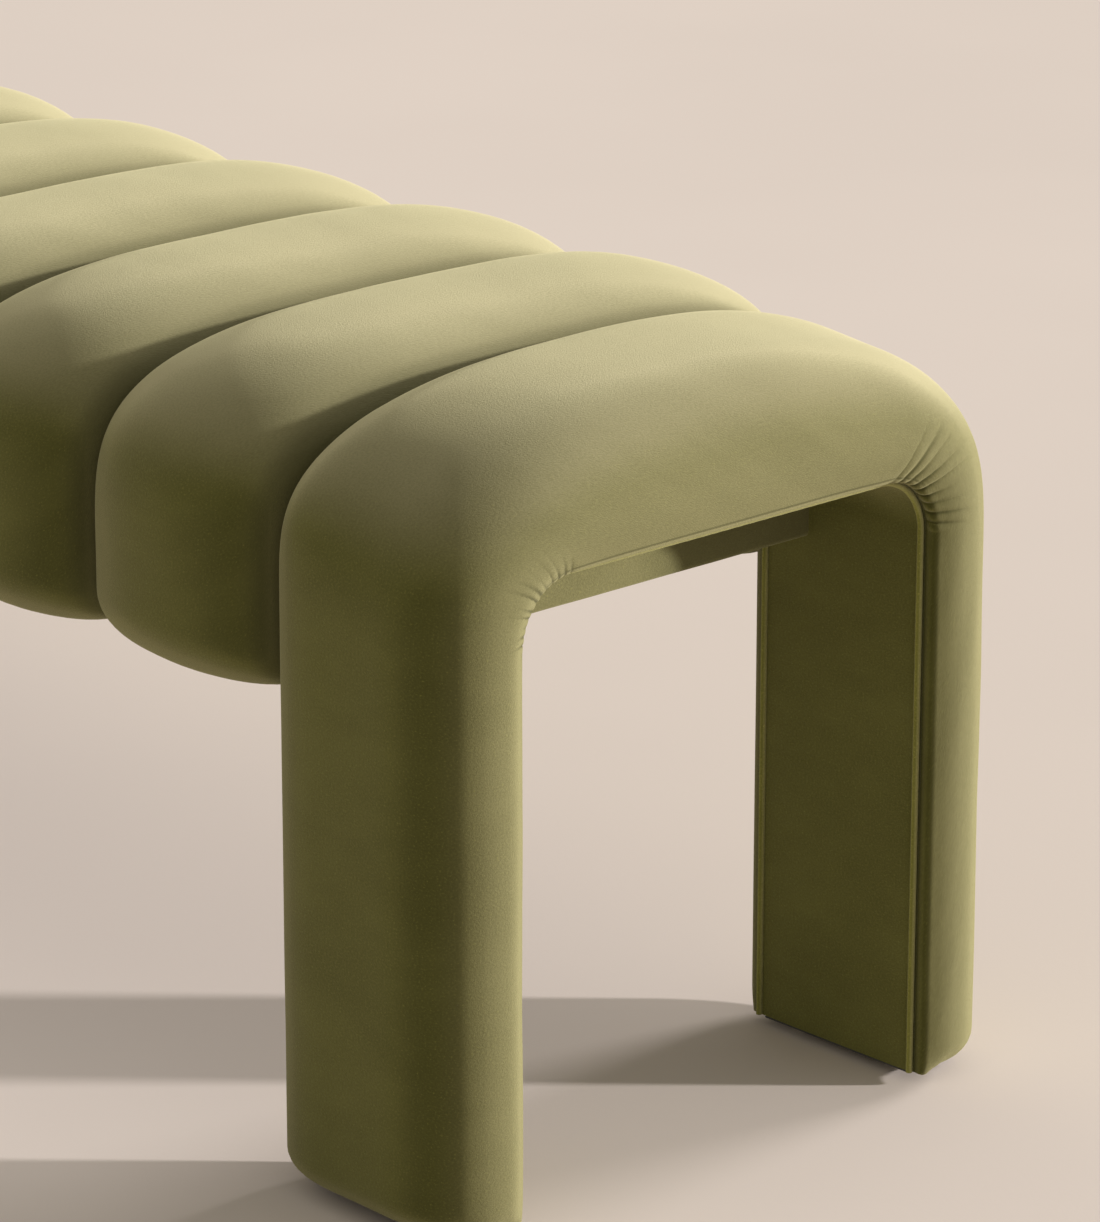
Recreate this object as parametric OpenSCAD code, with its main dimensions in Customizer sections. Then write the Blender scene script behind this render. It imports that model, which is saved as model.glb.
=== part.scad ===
// Channelled banquette bench: velvet channels over a plywood deck, carried by two upholstered arches.
// Frame: +X along the bench, -Y to the front, +Z up, origin on the floor under the middle of the bench.
// An arch is drawn about its own middle plane with +X to the outside of the bench, then placed or mirrored.

/* [Bench] */
// Width of one channel along the bench
channel_w = 152; // [140:1:170]
// Depth of the bench over the channel crowns, front to back
bench_d = 434; // [424:1:460]
// Height of the channel crowns above the floor
bench_h = 449; // [440:1:465]

/* [Channels] */
// How far a seam between two channels lies below their crowns
seam_drop = 31; // [20:1:32]
// How far a seam rises on the underside
seam_rise = 17; // [10:1:20]
// Thickness of the seat over its channels, from the crowns to the underside
seat_thick = 182; // [172:1:192]
// Straight part of the front, between the lower rounding and the curve into the top
front_straight = 26; // [16:1:34]
// Rounding of the lower edge, measured front to back
lower_round_d = 47; // [42:1:56]
// Rounding of the lower edge, measured upwards
lower_round_h = 36; // [30:1:44]
// Foam and cover above the deck, at a crown
pad_top = 49; // [42:1:58]
// Foam and cover in front of the apron, at a crown
pad_side = 37; // [36:1:46]
// Foam and cover below the apron, at a crown
pad_under = 37; // [30:1:44]

/* [Covers] */
// Thickness of the velvet with its backing
velvet_t = 2; // [1.2:0.1:2.6]
// Diameter of the piping along the arch seams
piping_d = 4; // [3:0.5:5]
// How far the piping stands into the arch opening
piping_proud = 1; // [0.6:0.1:1.4]
// Thickness of the black cloth below the seat and the legs
cloth_t = 1; // [0.6:0.1:1.6]
// Clearance between a soft piece and its neighbours
soft_gap = 0.3; // [0.2:0.05:0.4]
// Room between a cover and the foam in it
foam_gap = 0.7; // [0.6:0.05:0.9]

/* [Arch] */
// How far the arch stands back from the channel crowns, at the front and at the back
arch_setback = 7; // [4:0.5:10]
// Depth of a padded leg, front to back
leg_d = 58.5; // [54:0.5:64]
// Thickness of the arch crown over the opening, beside the seat
crown_thick = 87; // [82:1:92]
// Radius of the upper corners of the opening
opening_r = 34; // [28:1:40]
// How far each seam of the flat lining lies in from the widest place of the arch
seam_inset = 14; // [11:0.5:18]
// How far the arch crown lies below the channel crowns, on the outside of the bench
end_step = 7; // [3:0.5:10]
// How far the arch crown lies below the channel crowns, beside the seat
seat_step = 3; // [0:0.5:6]
// Height of the curve into the top, on the outside of the bench
end_curve_h = 148; // [138:1:156]
// Height of the curve into the top, beside the seat
seat_curve_h = 99; // [92:1:108]
// Flat middle of the leg's outer face
leg_flat_w = 35; // [24:1:44]
// Distance of the outer shoulder point from the arch's front or back
shoulder_in = 70; // [64:1:76]
// Radius by which the cover is tucked in at the foot
foot_tuck_r = 18; // [12:1:20]

/* [Frame] */
// How far the arch frame and its lining board lie in from the seams
frame_inset = 6; // [5:0.5:8]
// Thickness of the bent lining board
board_t = 9; // [6:0.5:10]
// Foam and cover on the outer face of a post
pad_leg = 17.2; // [16.4:0.2:18.4]
// Bevel on the upper corners of the arch frame
frame_bevel = 48; // [46:1:52]
// Bevel at the foot of the posts' outer faces
foot_bevel = 14; // [12:1:16]
// Thickness of the long rails
rail_t = 30; // [24:1:36]
// Thickness of the plywood deck
deck_t = 18; // [15:1:21]
// Thickness of the cross rails
cross_t = 25; // [20:1:32]
// Thickness of the end rails
end_rail_t = 26; // [24:1:28]
// Distance from the seam beside the seat to the face of the end rail's cover
fascia_in = 36; // [33:1:40]
// Size of the glue blocks in the corners of the arch frame
block_s = 24; // [18:1:26]

/* [Fasteners] */
// Diameter of the bolts that hold the arches
bolt_d = 8; // [6:1:10]
// Width across the corners of the bolt heads
bolt_head_d = 14; // [12:1:16]
// Height of the bolt heads
bolt_head_h = 5; // [4:0.5:6]
// Distance between the outer and the inner bolts
bolt_step = 60; // [48:1:66]
// Diameter of the tee nut flanges
tee_flange_d = 22; // [18:1:24]
// Depth of the tee nut barrels
tee_barrel_h = 10; // [8:1:14]
// Diameter of the wood screws
screw_d = 4; // [3.5:0.5:5]
// Length of the deck screws
deck_screw_l = 45; // [36:1:55]
// Length of the end rail screws
rail_screw_l = 70; // [55:1:80]
// Diameter of the glides
glide_d = 20; // [16:1:24]
// Height of the glides
glide_h = 5; // [4:0.5:7]
// Diameter of the glide nails
nail_d = 3; // [2:0.5:4]
// Length of the glide nails above the glide
nail_l = 22; // [16:1:28]

/* [Hidden] */

$fn = 48;

// Colours
velvet = "darkolivegreen";
velvet_dark = "olivedrab";
foam_colour = "moccasin";
wood = "burlywood";
ply = "tan";
black_cloth = "dimgray";
steel = "silver";
plastic = "gainsboro";

// Clearances and overruns
bore_gap = 0.3;
thread_gap = 0.15;
pilot_gap = 0.1;
cut_over = 1;

// Places along the bench: eight channels between the two arches
middle_count = 8;
seat_l = middle_count * channel_w;
arch_x = (seat_l + channel_w) / 2;

// Heights and depths of the seat, and those of the arches that follow them
half_d = bench_d / 2;
deck_top = bench_h - pad_top;
underside_h = bench_h - seat_thick;
shoulder_h = underside_h + lower_round_h + front_straight;
arch_d = bench_d - 2 * arch_setback;
opening_w = arch_d - 2 * leg_d;
arch_end_h = bench_h - end_step;
arch_seat_h = bench_h - seat_step;
opening_h = arch_seat_h - crown_thick;
deck_half_d = half_d - pad_side;
rail_bottom = underside_h + pad_under;
rail_top = deck_top - deck_t;
rail_out = opening_w / 2 - piping_proud - soft_gap;
rail_in = rail_out - rail_t;
hem_in = rail_out + 2 * soft_gap;
hem_z = rail_bottom - soft_gap;
seat_bevel_share = 0.35;
seat_bevel = seat_bevel_share * (bench_h - shoulder_h);
seat_bevel_y = deck_half_d - seat_bevel;
seat_bevel_z = deck_top - seat_bevel;

// Form of a channel: powers of its profile and of its cross-section, and the angles of its stations
profile_side_power = 3.2;
profile_top_power = 3.6;
crown_power = 2.1;
crown_angles = [90, 68, 50, 32, 14, 0];
split_index = 2;
split_share = 0.02;
split_gap = 2.4;
quarter_angles = [0, 45, 90];
cover_strips = 8;
foam_strips = 4;

// Further heights and depths of an arch
foot_z = glide_h + cloth_t + soft_gap;
arch_end_shoulder_h = arch_end_h - end_curve_h;
arch_seat_shoulder_h = arch_seat_h - seat_curve_h;
arch_corner_d = arch_d / 2 - shoulder_in;
panel_w = channel_w - 2 * seam_inset;
frame_w = panel_w - 2 * frame_inset;
half_opening = opening_w / 2;
corner_y = half_opening - opening_r;
corner_z = opening_h - opening_r;
side_bulge = (channel_w - panel_w) / 2 - soft_gap;
board_in = velvet_t + soft_gap;
frame_in = board_in + board_t;
post_t = leg_d - frame_in - pad_leg;
frame_out_y = half_opening + frame_in + post_t;
frame_top_z = opening_h + frame_in + post_t;
post_z = foot_z + velvet_t + soft_gap;
foam_in = max(board_in, piping_d - piping_proud + soft_gap);
glide_y = half_opening + frame_in + (post_t - foot_bevel) / 2;
glide_dx = frame_w / 3;
lining_w = panel_w - 2 * piping_d - 2 * soft_gap;

// Form of an arch: powers, share of the thickness at which its sides are widest, and station lists
end_side_power = 2.36;
end_top_power = 3.74;
seat_side_power = 2.26;
seat_top_power = 3.06;
end_round_power = 2.3;
seat_round_power = 3.2;
widest_share = 0.31;
tuck_angles = [0, 45, 90];
joint_share = 0.03;
corner_outer_angles = [10, 17, 25, 34, 43];
corner_steps = 6;
top_steps = 3;
flare_angles = [0, 45];
round_angles = [0, 30, 60, 90];

// End rail, bolts and screws
seam_x = panel_w / 2;
fascia_face_x = fascia_in - seam_x;
end_rail_x = fascia_face_x - velvet_t - soft_gap;
end_rail_back_x = end_rail_x - end_rail_t;
bolt_x = end_rail_x - end_rail_t / 2;
bolt_ys = [for (k = [-1.5, -0.5, 0.5, 1.5]) k * bolt_step];
washer_d = bolt_head_d + 4 * bore_gap;
washer_t = 1.6;
tee_flange_t = 1.5;
tee_wall = 1.5;
tee_barrel_d = bolt_d + 2 * tee_wall;
head_recess = bolt_head_h + washer_t + 2 * soft_gap;
bolt_top_play = 3;
screw_head_d = 2 * screw_d;
screw_head_h = screw_d / 2;
deck_screw_inset = 40;
deck_screw_count = 7;
cross_count = 3;
rail_screw_shares = [0.22, 0.53];
rail_screw_zs = [for (s = rail_screw_shares) rail_bottom + s * (opening_h - rail_bottom)];
rail_mid_y = (rail_in + rail_out) / 2;
rail_end_x = arch_x + end_rail_back_x;

// Superellipse point: a and b are the half sizes, m and n the powers
function oval(a, b, m, n, t) = [a * pow(cos(t), 2 / m), b * pow(sin(t), 2 / n)];

// Half profile of a channel from the middle of the top, down the front and in under the apron
function channel_half(drop, inset) =
    let (a = half_d - drop - inset, b = bench_h - drop - inset - shoulder_h,
         ey = half_d - lower_round_d, ez = underside_h + lower_round_h,
         ry = lower_round_d - drop - inset,
         rz = lower_round_h - drop * seam_rise / seam_drop - inset,
         ty = ey - hem_in - inset, tz = hem_z - ez + rz)
    concat(
        [for (t = crown_angles) let (p = oval(a, b, profile_side_power, profile_top_power, t))
            [-p[0], shoulder_h + p[1]]],
        [for (t = quarter_angles) [-ey - ry * cos(t), ez - rz * sin(t)]],
        [for (t = [45, 90]) [-ey + ty * sin(t), hem_z - tz * cos(t)]]);

// Point of that half profile at one angle of the crown
function crown_point(drop, inset, t) =
    let (p = oval(half_d - drop - inset, bench_h - drop - inset - shoulder_h,
                  profile_side_power, profile_top_power, t))
    [-p[0], shoulder_h + p[1]];

function on_line(p, q, share) = p + (q - p) * share;
function mirrored(p) = [-p[0], p[1]];
function reversed(list) = [for (i = [len(list) - 1 : -1 : 0]) list[i]];
function numbers(list) = [for (i = [0 : len(list) - 1]) i];
function tail(list) = [for (i = [1 : len(list) - 1]) list[i]];

// Whole profile, from the front hem over the top to the back hem
function channel_profile(drop, inset) =
    let (h = channel_half(drop, inset)) concat(reversed(h), [for (p = tail(h)) mirrored(p)]);

// Share of the seam drop at the place v across a channel, 0 in the middle and 1 at a seam
function drop_share(v) = 1 - pow(max(0, 1 - pow(abs(v), crown_power)), 1 / crown_power);
function strip_places(n) = [for (k = [0 : n]) sin(-90 + 180 * k / n)];

// Grid of points of a channel surface: one profile for each place across it
function channel_grid(inset, strips) =
    [for (v = strip_places(strips))
        [for (p = channel_profile(seam_drop * drop_share(v), inset))
            [v * (channel_w / 2 - soft_gap - inset), p[0], p[1]]]];

function flat(rows) = [for (row = rows) each row];

// Triangles between the rows of a grid whose first point has the number first
function sheet_faces(rows, cols, first, turned) =
    [for (i = [0 : rows - 2], j = [0 : cols - 2])
        let (a = first + i * cols + j, b = a + 1, c = a + cols, d = c + 1)
        each (turned ? [[a, c, b], [b, c, d]] : [[a, b, c], [b, d, c]])];

// Triangles of the rim between the same edge of two grids
function rim_faces(path, shift, turned) =
    [for (k = [0 : len(path) - 2])
        let (a = path[k], b = path[k + 1], c = a + shift, d = b + shift)
        each (turned ? [[a, b, c], [b, d, c]] : [[a, c, b], [b, c, d]])];

// Closed shell between an outer and an inner grid of the same size
module shell(outer, inner) {
    rows = len(outer);
    cols = len(outer[0]);
    count = rows * cols;
    polyhedron(points = concat(flat(outer), flat(inner)), faces = concat(
        sheet_faces(rows, cols, 0, false),
        sheet_faces(rows, cols, count, true),
        rim_faces([for (j = [0 : cols - 1]) j], count, false),
        rim_faces([for (j = [0 : cols - 1]) (rows - 1) * cols + j], count, true),
        rim_faces([for (i = [0 : rows - 1]) i * cols], count, true),
        rim_faces([for (i = [0 : rows - 1]) i * cols + cols - 1], count, false)));
}

// Closed solid through rings of points that are all the same length, with the faces of its ends.
// The last face of each ring has its diagonal the other way, so that two foams meet evenly there
module loft(rings, ends) {
    n = len(rings[0]);
    last = (len(rings) - 1) * n;
    sides = [for (i = [0 : len(rings) - 2], j = [0 : n - 1])
        let (a = i * n + j, b = i * n + (j + 1) % n, c = a + n, d = b + n)
        each (j < n - 1 ? [[a, c, b], [b, c, d]] : [[a, c, d], [a, d, b]])];
    far_ends = [for (f = ends) [for (j = reversed(f)) last + j]];
    faces = [for (f = concat(sides, ends, far_ends)) reversed(f)];
    polyhedron(points = flat(rings), faces = faces);
}

// Middle of the channel with this number, counted from the left arch
function channel_x(k) = (k - 1) * channel_w - (seat_l - channel_w) / 2;

module channel_cover(k) {
    color(velvet) translate([channel_x(k), 0, 0])
        shell(channel_grid(0, cover_strips), channel_grid(velvet_t, cover_strips));
}

// Rings of the foam on top of the deck, one for each place across the channel
function top_foam_rings(inset) = [for (v = strip_places(foam_strips))
    let (x = v * (channel_w / 2 - soft_gap - inset), drop = seam_drop * drop_share(v),
         c = [for (i = [0 : split_index]) crown_point(drop, inset, crown_angles[i])],
         h = [c[0], c[1], on_line(c[split_index], c[1], split_share),
              [-seat_bevel_y, deck_top + soft_gap]])
    [for (p = concat(reversed(h), [for (q = tail(h)) mirrored(q)])) [x, p[0], p[1]]]];

// Rings of the foam in front of the apron and under it
function side_foam_rings(inset) = [for (v = strip_places(foam_strips))
    let (x = v * (channel_w / 2 - soft_gap - inset), drop = seam_drop * drop_share(v),
         h = channel_half(drop, inset), outer = [for (i = [split_index + 1 : len(h) - 1]) h[i]])
    [for (p = concat([on_line(h[split_index], outer[0], split_share)], outer,
                     [[-deck_half_d - soft_gap, hem_z], [-deck_half_d - soft_gap, seat_bevel_z],
                      [-seat_bevel_y - split_gap, deck_top - split_gap + 1.5 * soft_gap]]))
        [x, p[0], p[1]]]];

module channel_foam(k) {
    top = top_foam_rings(velvet_t + foam_gap);
    side = side_foam_rings(velvet_t + foam_gap);
    color(foam_colour) translate([channel_x(k), 0, 0]) {
        loft(top, [numbers(top[0])]);
        loft([for (r = side) reversed(r)], [numbers(side[0])]);
        loft([for (r = side) mirrored_y(r)], [numbers(side[0])]);
    }
}

// Values of the arch's outer profile, mixed from the end side, w = 0, to the seat side, w = 1
function mixed(end_value, seat_value, w) = end_value + (seat_value - end_value) * w;
function arch_top(w, inset) = mixed(arch_end_h, arch_seat_h, w) - inset;
function arch_shoulder(w) = mixed(arch_end_shoulder_h, arch_seat_shoulder_h, w);
function arch_side_power(w) = mixed(end_side_power, seat_side_power, w);
function arch_top_power(w) = mixed(end_top_power, seat_top_power, w);

// Outer profile of the arch: by height on a leg, by angle round the shoulder, by depth on top
function arch_by_height(z, w, inset) =
    let (s = arch_shoulder(w), share = max(0, (z - s) / (arch_top(w, inset) - s)))
    [-(arch_d / 2 - inset) * pow(1 - pow(share, arch_top_power(w)), 1 / arch_side_power(w)), z];
function arch_by_angle(t, w, inset) =
    let (p = oval(arch_d / 2 - inset, arch_top(w, inset) - arch_shoulder(w),
                  arch_side_power(w), arch_top_power(w), t))
    [-p[0], arch_shoulder(w) + p[1]];
function arch_by_depth(y, w, inset) =
    let (s = arch_shoulder(w), share = y / (arch_d / 2 - inset))
    [-y, s + (arch_top(w, inset) - s) * pow(1 - pow(share, arch_side_power(w)), 1 / arch_top_power(w))];

// Stations of one half of the arch, from the foot to the middle of the top
leg_zs = [for (t = tuck_angles) foot_z + foot_tuck_r * (1 - cos(t))];
function outer_half(w, inset) = concat(
    [for (z = leg_zs) arch_by_height(z, w, inset)],
    [arch_by_height(corner_z, w, inset)],
    [for (t = corner_outer_angles) arch_by_angle(t, w, inset)],
    [for (k = [top_steps : -1 : 0]) arch_by_depth(arch_corner_d * k / top_steps, w, inset)]);
function inner_half(inset) = concat(
    [for (z = leg_zs) [-half_opening - inset, z]],
    [for (k = [0 : corner_steps]) let (t = 90 * k / corner_steps)
        [-corner_y - (opening_r + inset) * cos(t), corner_z + (opening_r + inset) * sin(t)]],
    [for (k = [top_steps - 1 : -1 : 0]) [-corner_y * k / top_steps, opening_h + inset]]);

// How far the outside is drawn in near the foot, and how far the bevel of the posts there goes
foot_insets = [for (t = tuck_angles) [foot_z + foot_tuck_r * (1 - cos(t)), foot_tuck_r * (1 - sin(t))]];
foot_end_z = foot_z + foot_tuck_r;
function foot_inset(z) = lookup(z, foot_insets);
function foot_bevel_at(z) = foot_bevel * max(0, (foot_end_z - z) / (foot_end_z - post_z));

// Cross-section of the arch from the outer seam round to the seat seam: place across and share of depth
function half_section(bulge, power) = concat(
    [for (t = flare_angles) [seam_x + bulge * sin(t), widest_share * (1 - cos(t))]],
    [for (t = round_angles)
        let (p = oval(seam_x + bulge - leg_flat_w / 2, 1 - widest_share, power, power, t))
        [leg_flat_w / 2 + p[0], widest_share + p[1]]]);
function arch_section(bulge) = concat(half_section(bulge, end_round_power), [[0, 1]],
    [for (p = reversed(half_section(bulge, seat_round_power))) [-p[0], p[1]]]);

// Smooth mix across the arch
function across(x) = let (w = min(1, max(0, (seam_x - x) / panel_w))) w * w * (3 - 2 * w);

// Half grid of an arch surface; inset moves it in on the outside, seam_in on the side of the opening
function arch_half_grid(inset, seam_in) =
    let (section = arch_section(side_bulge - inset), inner = inner_half(seam_in),
         outers = [for (s = section) outer_half(across(s[0]), inset)])
    [for (i = [0 : len(inner) - 1])
        [for (j = [0 : len(section) - 1])
            let (s = section[j], tuck = foot_inset(inner[i][1]),
                 x = s[0] * (1 - tuck * min(1, s[1] / widest_share) / (channel_w / 2)),
                 d = s[1] * (1 - tuck / (arch_d / 2 - half_opening)))
            [x, mixed(inner[i][0], outers[j][i][0], d), mixed(inner[i][1], outers[j][i][1], d)]]];
function mirrored_y(row) = [for (p = row) [p[0], -p[1], p[2]]];
function arch_grid(inset, seam_in) =
    let (h = arch_half_grid(inset, seam_in))
    concat(h, [for (row = tail(reversed(h))) mirrored_y(row)]);

// Puts an arch piece at the right end, or mirrored at the left end
module at_end(side) {
    if (side > 0) translate([arch_x, 0, 0]) children();
    else mirror([1, 0, 0]) translate([arch_x, 0, 0]) children();
}

module arch_cover(side) {
    color(velvet) at_end(side)
        shell(arch_grid(0, 0), arch_grid(velvet_t, velvet_t));
}

// Point on the foam's inner side at one station, on the line from p to q: beside the posts, then on
// the bevel from its lower to its upper corner, then above the top rail
bevel_y = frame_out_y - frame_bevel;
bevel_z = frame_top_z - frame_bevel;
foam_side_y = -frame_out_y - soft_gap;
foam_top_z = frame_top_z + soft_gap;
foam_bevel_sum = frame_out_y + bevel_z + 1.5 * soft_gap;
low_corner = 4;
high_corner = 8;
function frame_point(i, p, q) =
    i < low_corner ? on_line(p, q, (foam_side_y + foot_bevel_at(p[1]) - p[0]) / (q[0] - p[0]))
    : i == low_corner ? [foam_side_y, foam_bevel_sum + foam_side_y]
    : i < high_corner ? on_line(p, q, (foam_bevel_sum - p[1] + p[0]) / (q[1] - p[1] - q[0] + p[0]))
    : i == high_corner ? [foam_top_z - foam_bevel_sum, foam_top_z]
    : on_line(p, q, (foam_top_z - p[1]) / (q[1] - p[1]));

// Ring of the arch foam at one station: round the outside, then back round the frame
function arch_foam_ring(grid, i) =
    let (row = grid[i], p = [row[0][1], row[0][2]], mid = row[floor(len(row) / 2)],
         f = frame_point(i, p, [mid[1], mid[2]]), x = frame_w / 2 + soft_gap)
    concat(row, [[-x, p[0], p[1]], [-x, f[0], f[1]], [x, f[0], f[1]], [x, p[0], p[1]]]);

function ring_between(a, b, share) = [for (j = [0 : len(a) - 1]) on_line(a[j], b[j], share)];

// Faces of a foam piece's end: from the row round the outside to the four points round the frame
foam_end_faces = let (a = 13, b = 14, c = 15, d = 16)
    concat([for (j = [0, 1]) [j, j + 1, d]], [[2, c, d]], [for (j = [2 : 5]) [j, j + 1, c]], [[6, b, c]],
        [for (j = [6 : 9]) [j, j + 1, b]], [[10, a, b]], [for (j = [10, 11]) [j, j + 1, a]]);

// Foam of an arch in five pieces: two on the legs, two round the corners and one on the top rail.
// It starts at the second station, a little above the foot
module arch_foam(side) {
    grid = arch_half_grid(velvet_t + foam_gap, foam_in);
    half = [for (i = [1 : len(grid) - 1]) arch_foam_ring(grid, i)];
    rings = concat(half, [for (r = tail(reversed(half))) mirrored_y(r)]);
    last = len(rings) - 1;
    first = len(leg_zs) - 1;
    corner = first + corner_steps;
    spans = [[0, first, 0], [first, corner, joint_share], [corner, last - corner, 0],
        [last - corner, last - first, joint_share], [last - first, last, 0]];
    color(foam_colour) at_end(side) for (s = spans) {
        inner = [for (i = [s[0] + 1 : s[1] - 1]) rings[i]];
        start = ring_between(rings[s[0]], rings[s[0] + 1], s[2]);
        end = ring_between(rings[s[1]], rings[s[1] - 1], s[2]);
        loft(concat([start], inner, [end]), foam_end_faces);
    }
}

// Outline of the arch opening in YZ, made smaller by inset, from the floor up
module opening_outline(inset) {
    h = half_opening - inset;
    r = opening_r - inset;
    translate([-h, 0]) square([2 * h, corner_z]);
    translate([-corner_y, 0]) square([2 * corner_y, opening_h - inset]);
    for (m = [-1, 1]) translate([m * corner_y, corner_z]) circle(r = r);
}

// Extrudes an outline drawn in YZ over a length along X, about the middle plane
module along_x(length) {
    translate([-length / 2, 0, 0]) rotate([90, 0, 90]) linear_extrude(height = length) children();
}

// Strip of a thickness round the opening, standing back from it, from a height up
module opening_strip(inset, thickness, low) {
    difference() {
        opening_outline(-inset - thickness);
        opening_outline(-inset);
        translate([-bench_d, -bench_h]) square([2 * bench_d, bench_h + low]);
    }
}

// Bores for the four arch bolts, in the arch's own place
module bolt_bores(d, low, high) {
    for (y = bolt_ys) translate([bolt_x, y, low]) cylinder(h = high - low, d = d);
}

module lining_cover(side) {
    color(velvet_dark) at_end(side) difference() {
        along_x(lining_w) opening_strip(0, velvet_t, foot_z);
        bolt_bores(bolt_d + 2 * bore_gap, opening_h - cut_over, opening_h + velvet_t + cut_over);
    }
}

module lining_board(side) {
    color(ply) at_end(side) difference() {
        along_x(frame_w) opening_strip(board_in, board_t, post_z);
        bolt_bores(bolt_d + 2 * bore_gap, opening_h, opening_h + frame_in + cut_over);
    }
}

// One run of piping round the opening at the middle plane
module piping_run() {
    r = opening_r + piping_d / 2 - piping_proud;
    y = half_opening + piping_d / 2 - piping_proud;
    z = opening_h + piping_d / 2 - piping_proud;
    for (m = [-1, 1]) translate([0, m * y, foot_z]) cylinder(h = corner_z - foot_z, d = piping_d);
    translate([0, corner_y, z]) rotate([90, 0, 0]) cylinder(h = 2 * corner_y, d = piping_d);
    for (m = [0, 1]) mirror([0, m, 0]) translate([0, corner_y, corner_z]) rotate([90, 0, 90])
        rotate_extrude(angle = 90) translate([r, 0]) circle(d = piping_d);
}

module piping(side) {
    color(velvet) at_end(side) for (m = [-1, 1])
        translate([m * (seam_x - soft_gap - piping_d / 2), 0, 0]) piping_run();
}

// Outline of the arch frame with its bevelled corners and feet
module frame_outline() {
    polygon([[foot_bevel - frame_out_y, post_z], [-frame_out_y, foot_end_z], [-frame_out_y, bevel_z],
        [-bevel_y, frame_top_z], [bevel_y, frame_top_z], [frame_out_y, bevel_z],
        [frame_out_y, foot_end_z], [frame_out_y - foot_bevel, post_z]]);
}

module leg_post(side, m) {
    y = half_opening + frame_in;
    color(wood) at_end(side) mirror([0, m, 0]) difference() {
        along_x(frame_w) intersection() {
            frame_outline();
            translate([-y - post_t, post_z]) square([post_t, opening_h + frame_in - post_z]);
        }
        for (x = [-glide_dx, glide_dx]) translate([x, -glide_y, post_z - cut_over])
            cylinder(h = nail_l + cut_over, d = nail_d + 2 * pilot_gap);
    }
}

module arch_top_rail(side) {
    z = opening_h + frame_in;
    color(wood) at_end(side) difference() {
        along_x(frame_w) intersection() {
            frame_outline();
            translate([-frame_out_y, z]) square([2 * frame_out_y, post_t]);
        }
        bolt_bores(bolt_d + 2 * bore_gap, z - cut_over, frame_top_z + cut_over);
        bolt_bores(tee_barrel_d + 2 * pilot_gap, frame_top_z - tee_flange_t - tee_barrel_h,
            frame_top_z + cut_over);
        bolt_bores(tee_flange_d + 2 * bore_gap, frame_top_z - tee_flange_t - pilot_gap,
            frame_top_z + cut_over);
    }
}

module glue_blocks(side) {
    y = half_opening + frame_in;
    z = opening_h + frame_in;
    color(wood) at_end(side) for (m = [0, 1]) mirror([0, m, 0]) along_x(frame_w - 2 * block_s)
        polygon([[y, z], [y - block_s, z], [y, z - block_s]]);
}

module end_rail(side) {
    color(wood) at_end(side) difference() {
        translate([(end_rail_x + end_rail_back_x) / 2, 0, 0]) along_x(end_rail_t) difference() {
            opening_outline(soft_gap);
            translate([-bench_d, -bench_h]) square([2 * bench_d, bench_h + rail_bottom]);
        }
        bolt_bores(bolt_d + 2 * bore_gap, rail_bottom - cut_over, opening_h + cut_over);
        bolt_bores(washer_d + 2 * bore_gap, rail_bottom - cut_over, rail_bottom + head_recess);
        end_rail_screw_shapes(bore_gap);
    }
}

module fascia_cover(side) {
    z = rail_bottom - soft_gap - velvet_t;
    back = end_rail_back_x;
    color(velvet) at_end(side) {
        translate([fascia_face_x - velvet_t / 2, 0, 0]) along_x(velvet_t) difference() {
            opening_outline(soft_gap);
            translate([-bench_d, -bench_h]) square([2 * bench_d, bench_h + z]);
        }
        translate([back, soft_gap - half_opening, z])
            cube([fascia_face_x - back, opening_w - 2 * soft_gap, velvet_t]);
    }
}

// Long rail: full height between the arches, low and within the opening's outline at its ends
module long_rail(m) {
    color(wood) mirror([0, m, 0]) difference() {
        union() {
            translate([-seat_l / 2 + soft_gap, -rail_out, rail_bottom])
                cube([seat_l - 2 * soft_gap, rail_t, rail_top - rail_bottom]);
            intersection() {
                along_x(2 * rail_end_x) opening_outline(piping_proud + soft_gap);
                translate([-rail_end_x, -rail_out, rail_bottom])
                    cube([2 * rail_end_x, rail_t, opening_h]);
            }
        }
        for (side = [-1, 1]) at_end(side) end_rail_screw_shapes(pilot_gap);
        deck_screw_shapes(pilot_gap);
    }
}

// Outline of the seat frame with its bevelled upper edges
module seat_outline() {
    polygon([[-deck_half_d, rail_bottom], [-deck_half_d, seat_bevel_z], [-seat_bevel_y, deck_top],
        [seat_bevel_y, deck_top], [deck_half_d, seat_bevel_z], [deck_half_d, rail_bottom]]);
}

module apron(m) {
    color(wood) mirror([0, m, 0]) along_x(seat_l - 2 * soft_gap) intersection() {
        seat_outline();
        translate([-deck_half_d, rail_bottom])
            square([deck_half_d - rail_out, rail_top - rail_bottom]);
    }
}

module seat_deck() {
    color(ply) difference() {
        along_x(seat_l - 2 * soft_gap) intersection() {
            seat_outline();
            translate([-deck_half_d, rail_top]) square([2 * deck_half_d, deck_t]);
        }
        deck_screw_shapes(bore_gap);
    }
}

module cross_rail(k) {
    x = k * seat_l / (cross_count + 1);
    color(wood) translate([x - cross_t / 2, -rail_in, rail_bottom])
        cube([cross_t, 2 * rail_in, rail_top - rail_bottom]);
}

module dust_cover() {
    w = rail_end_x - soft_gap;
    color(black_cloth) translate([-w, -rail_out, hem_z - cloth_t]) cube([2 * w, 2 * rail_out, cloth_t]);
}

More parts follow.
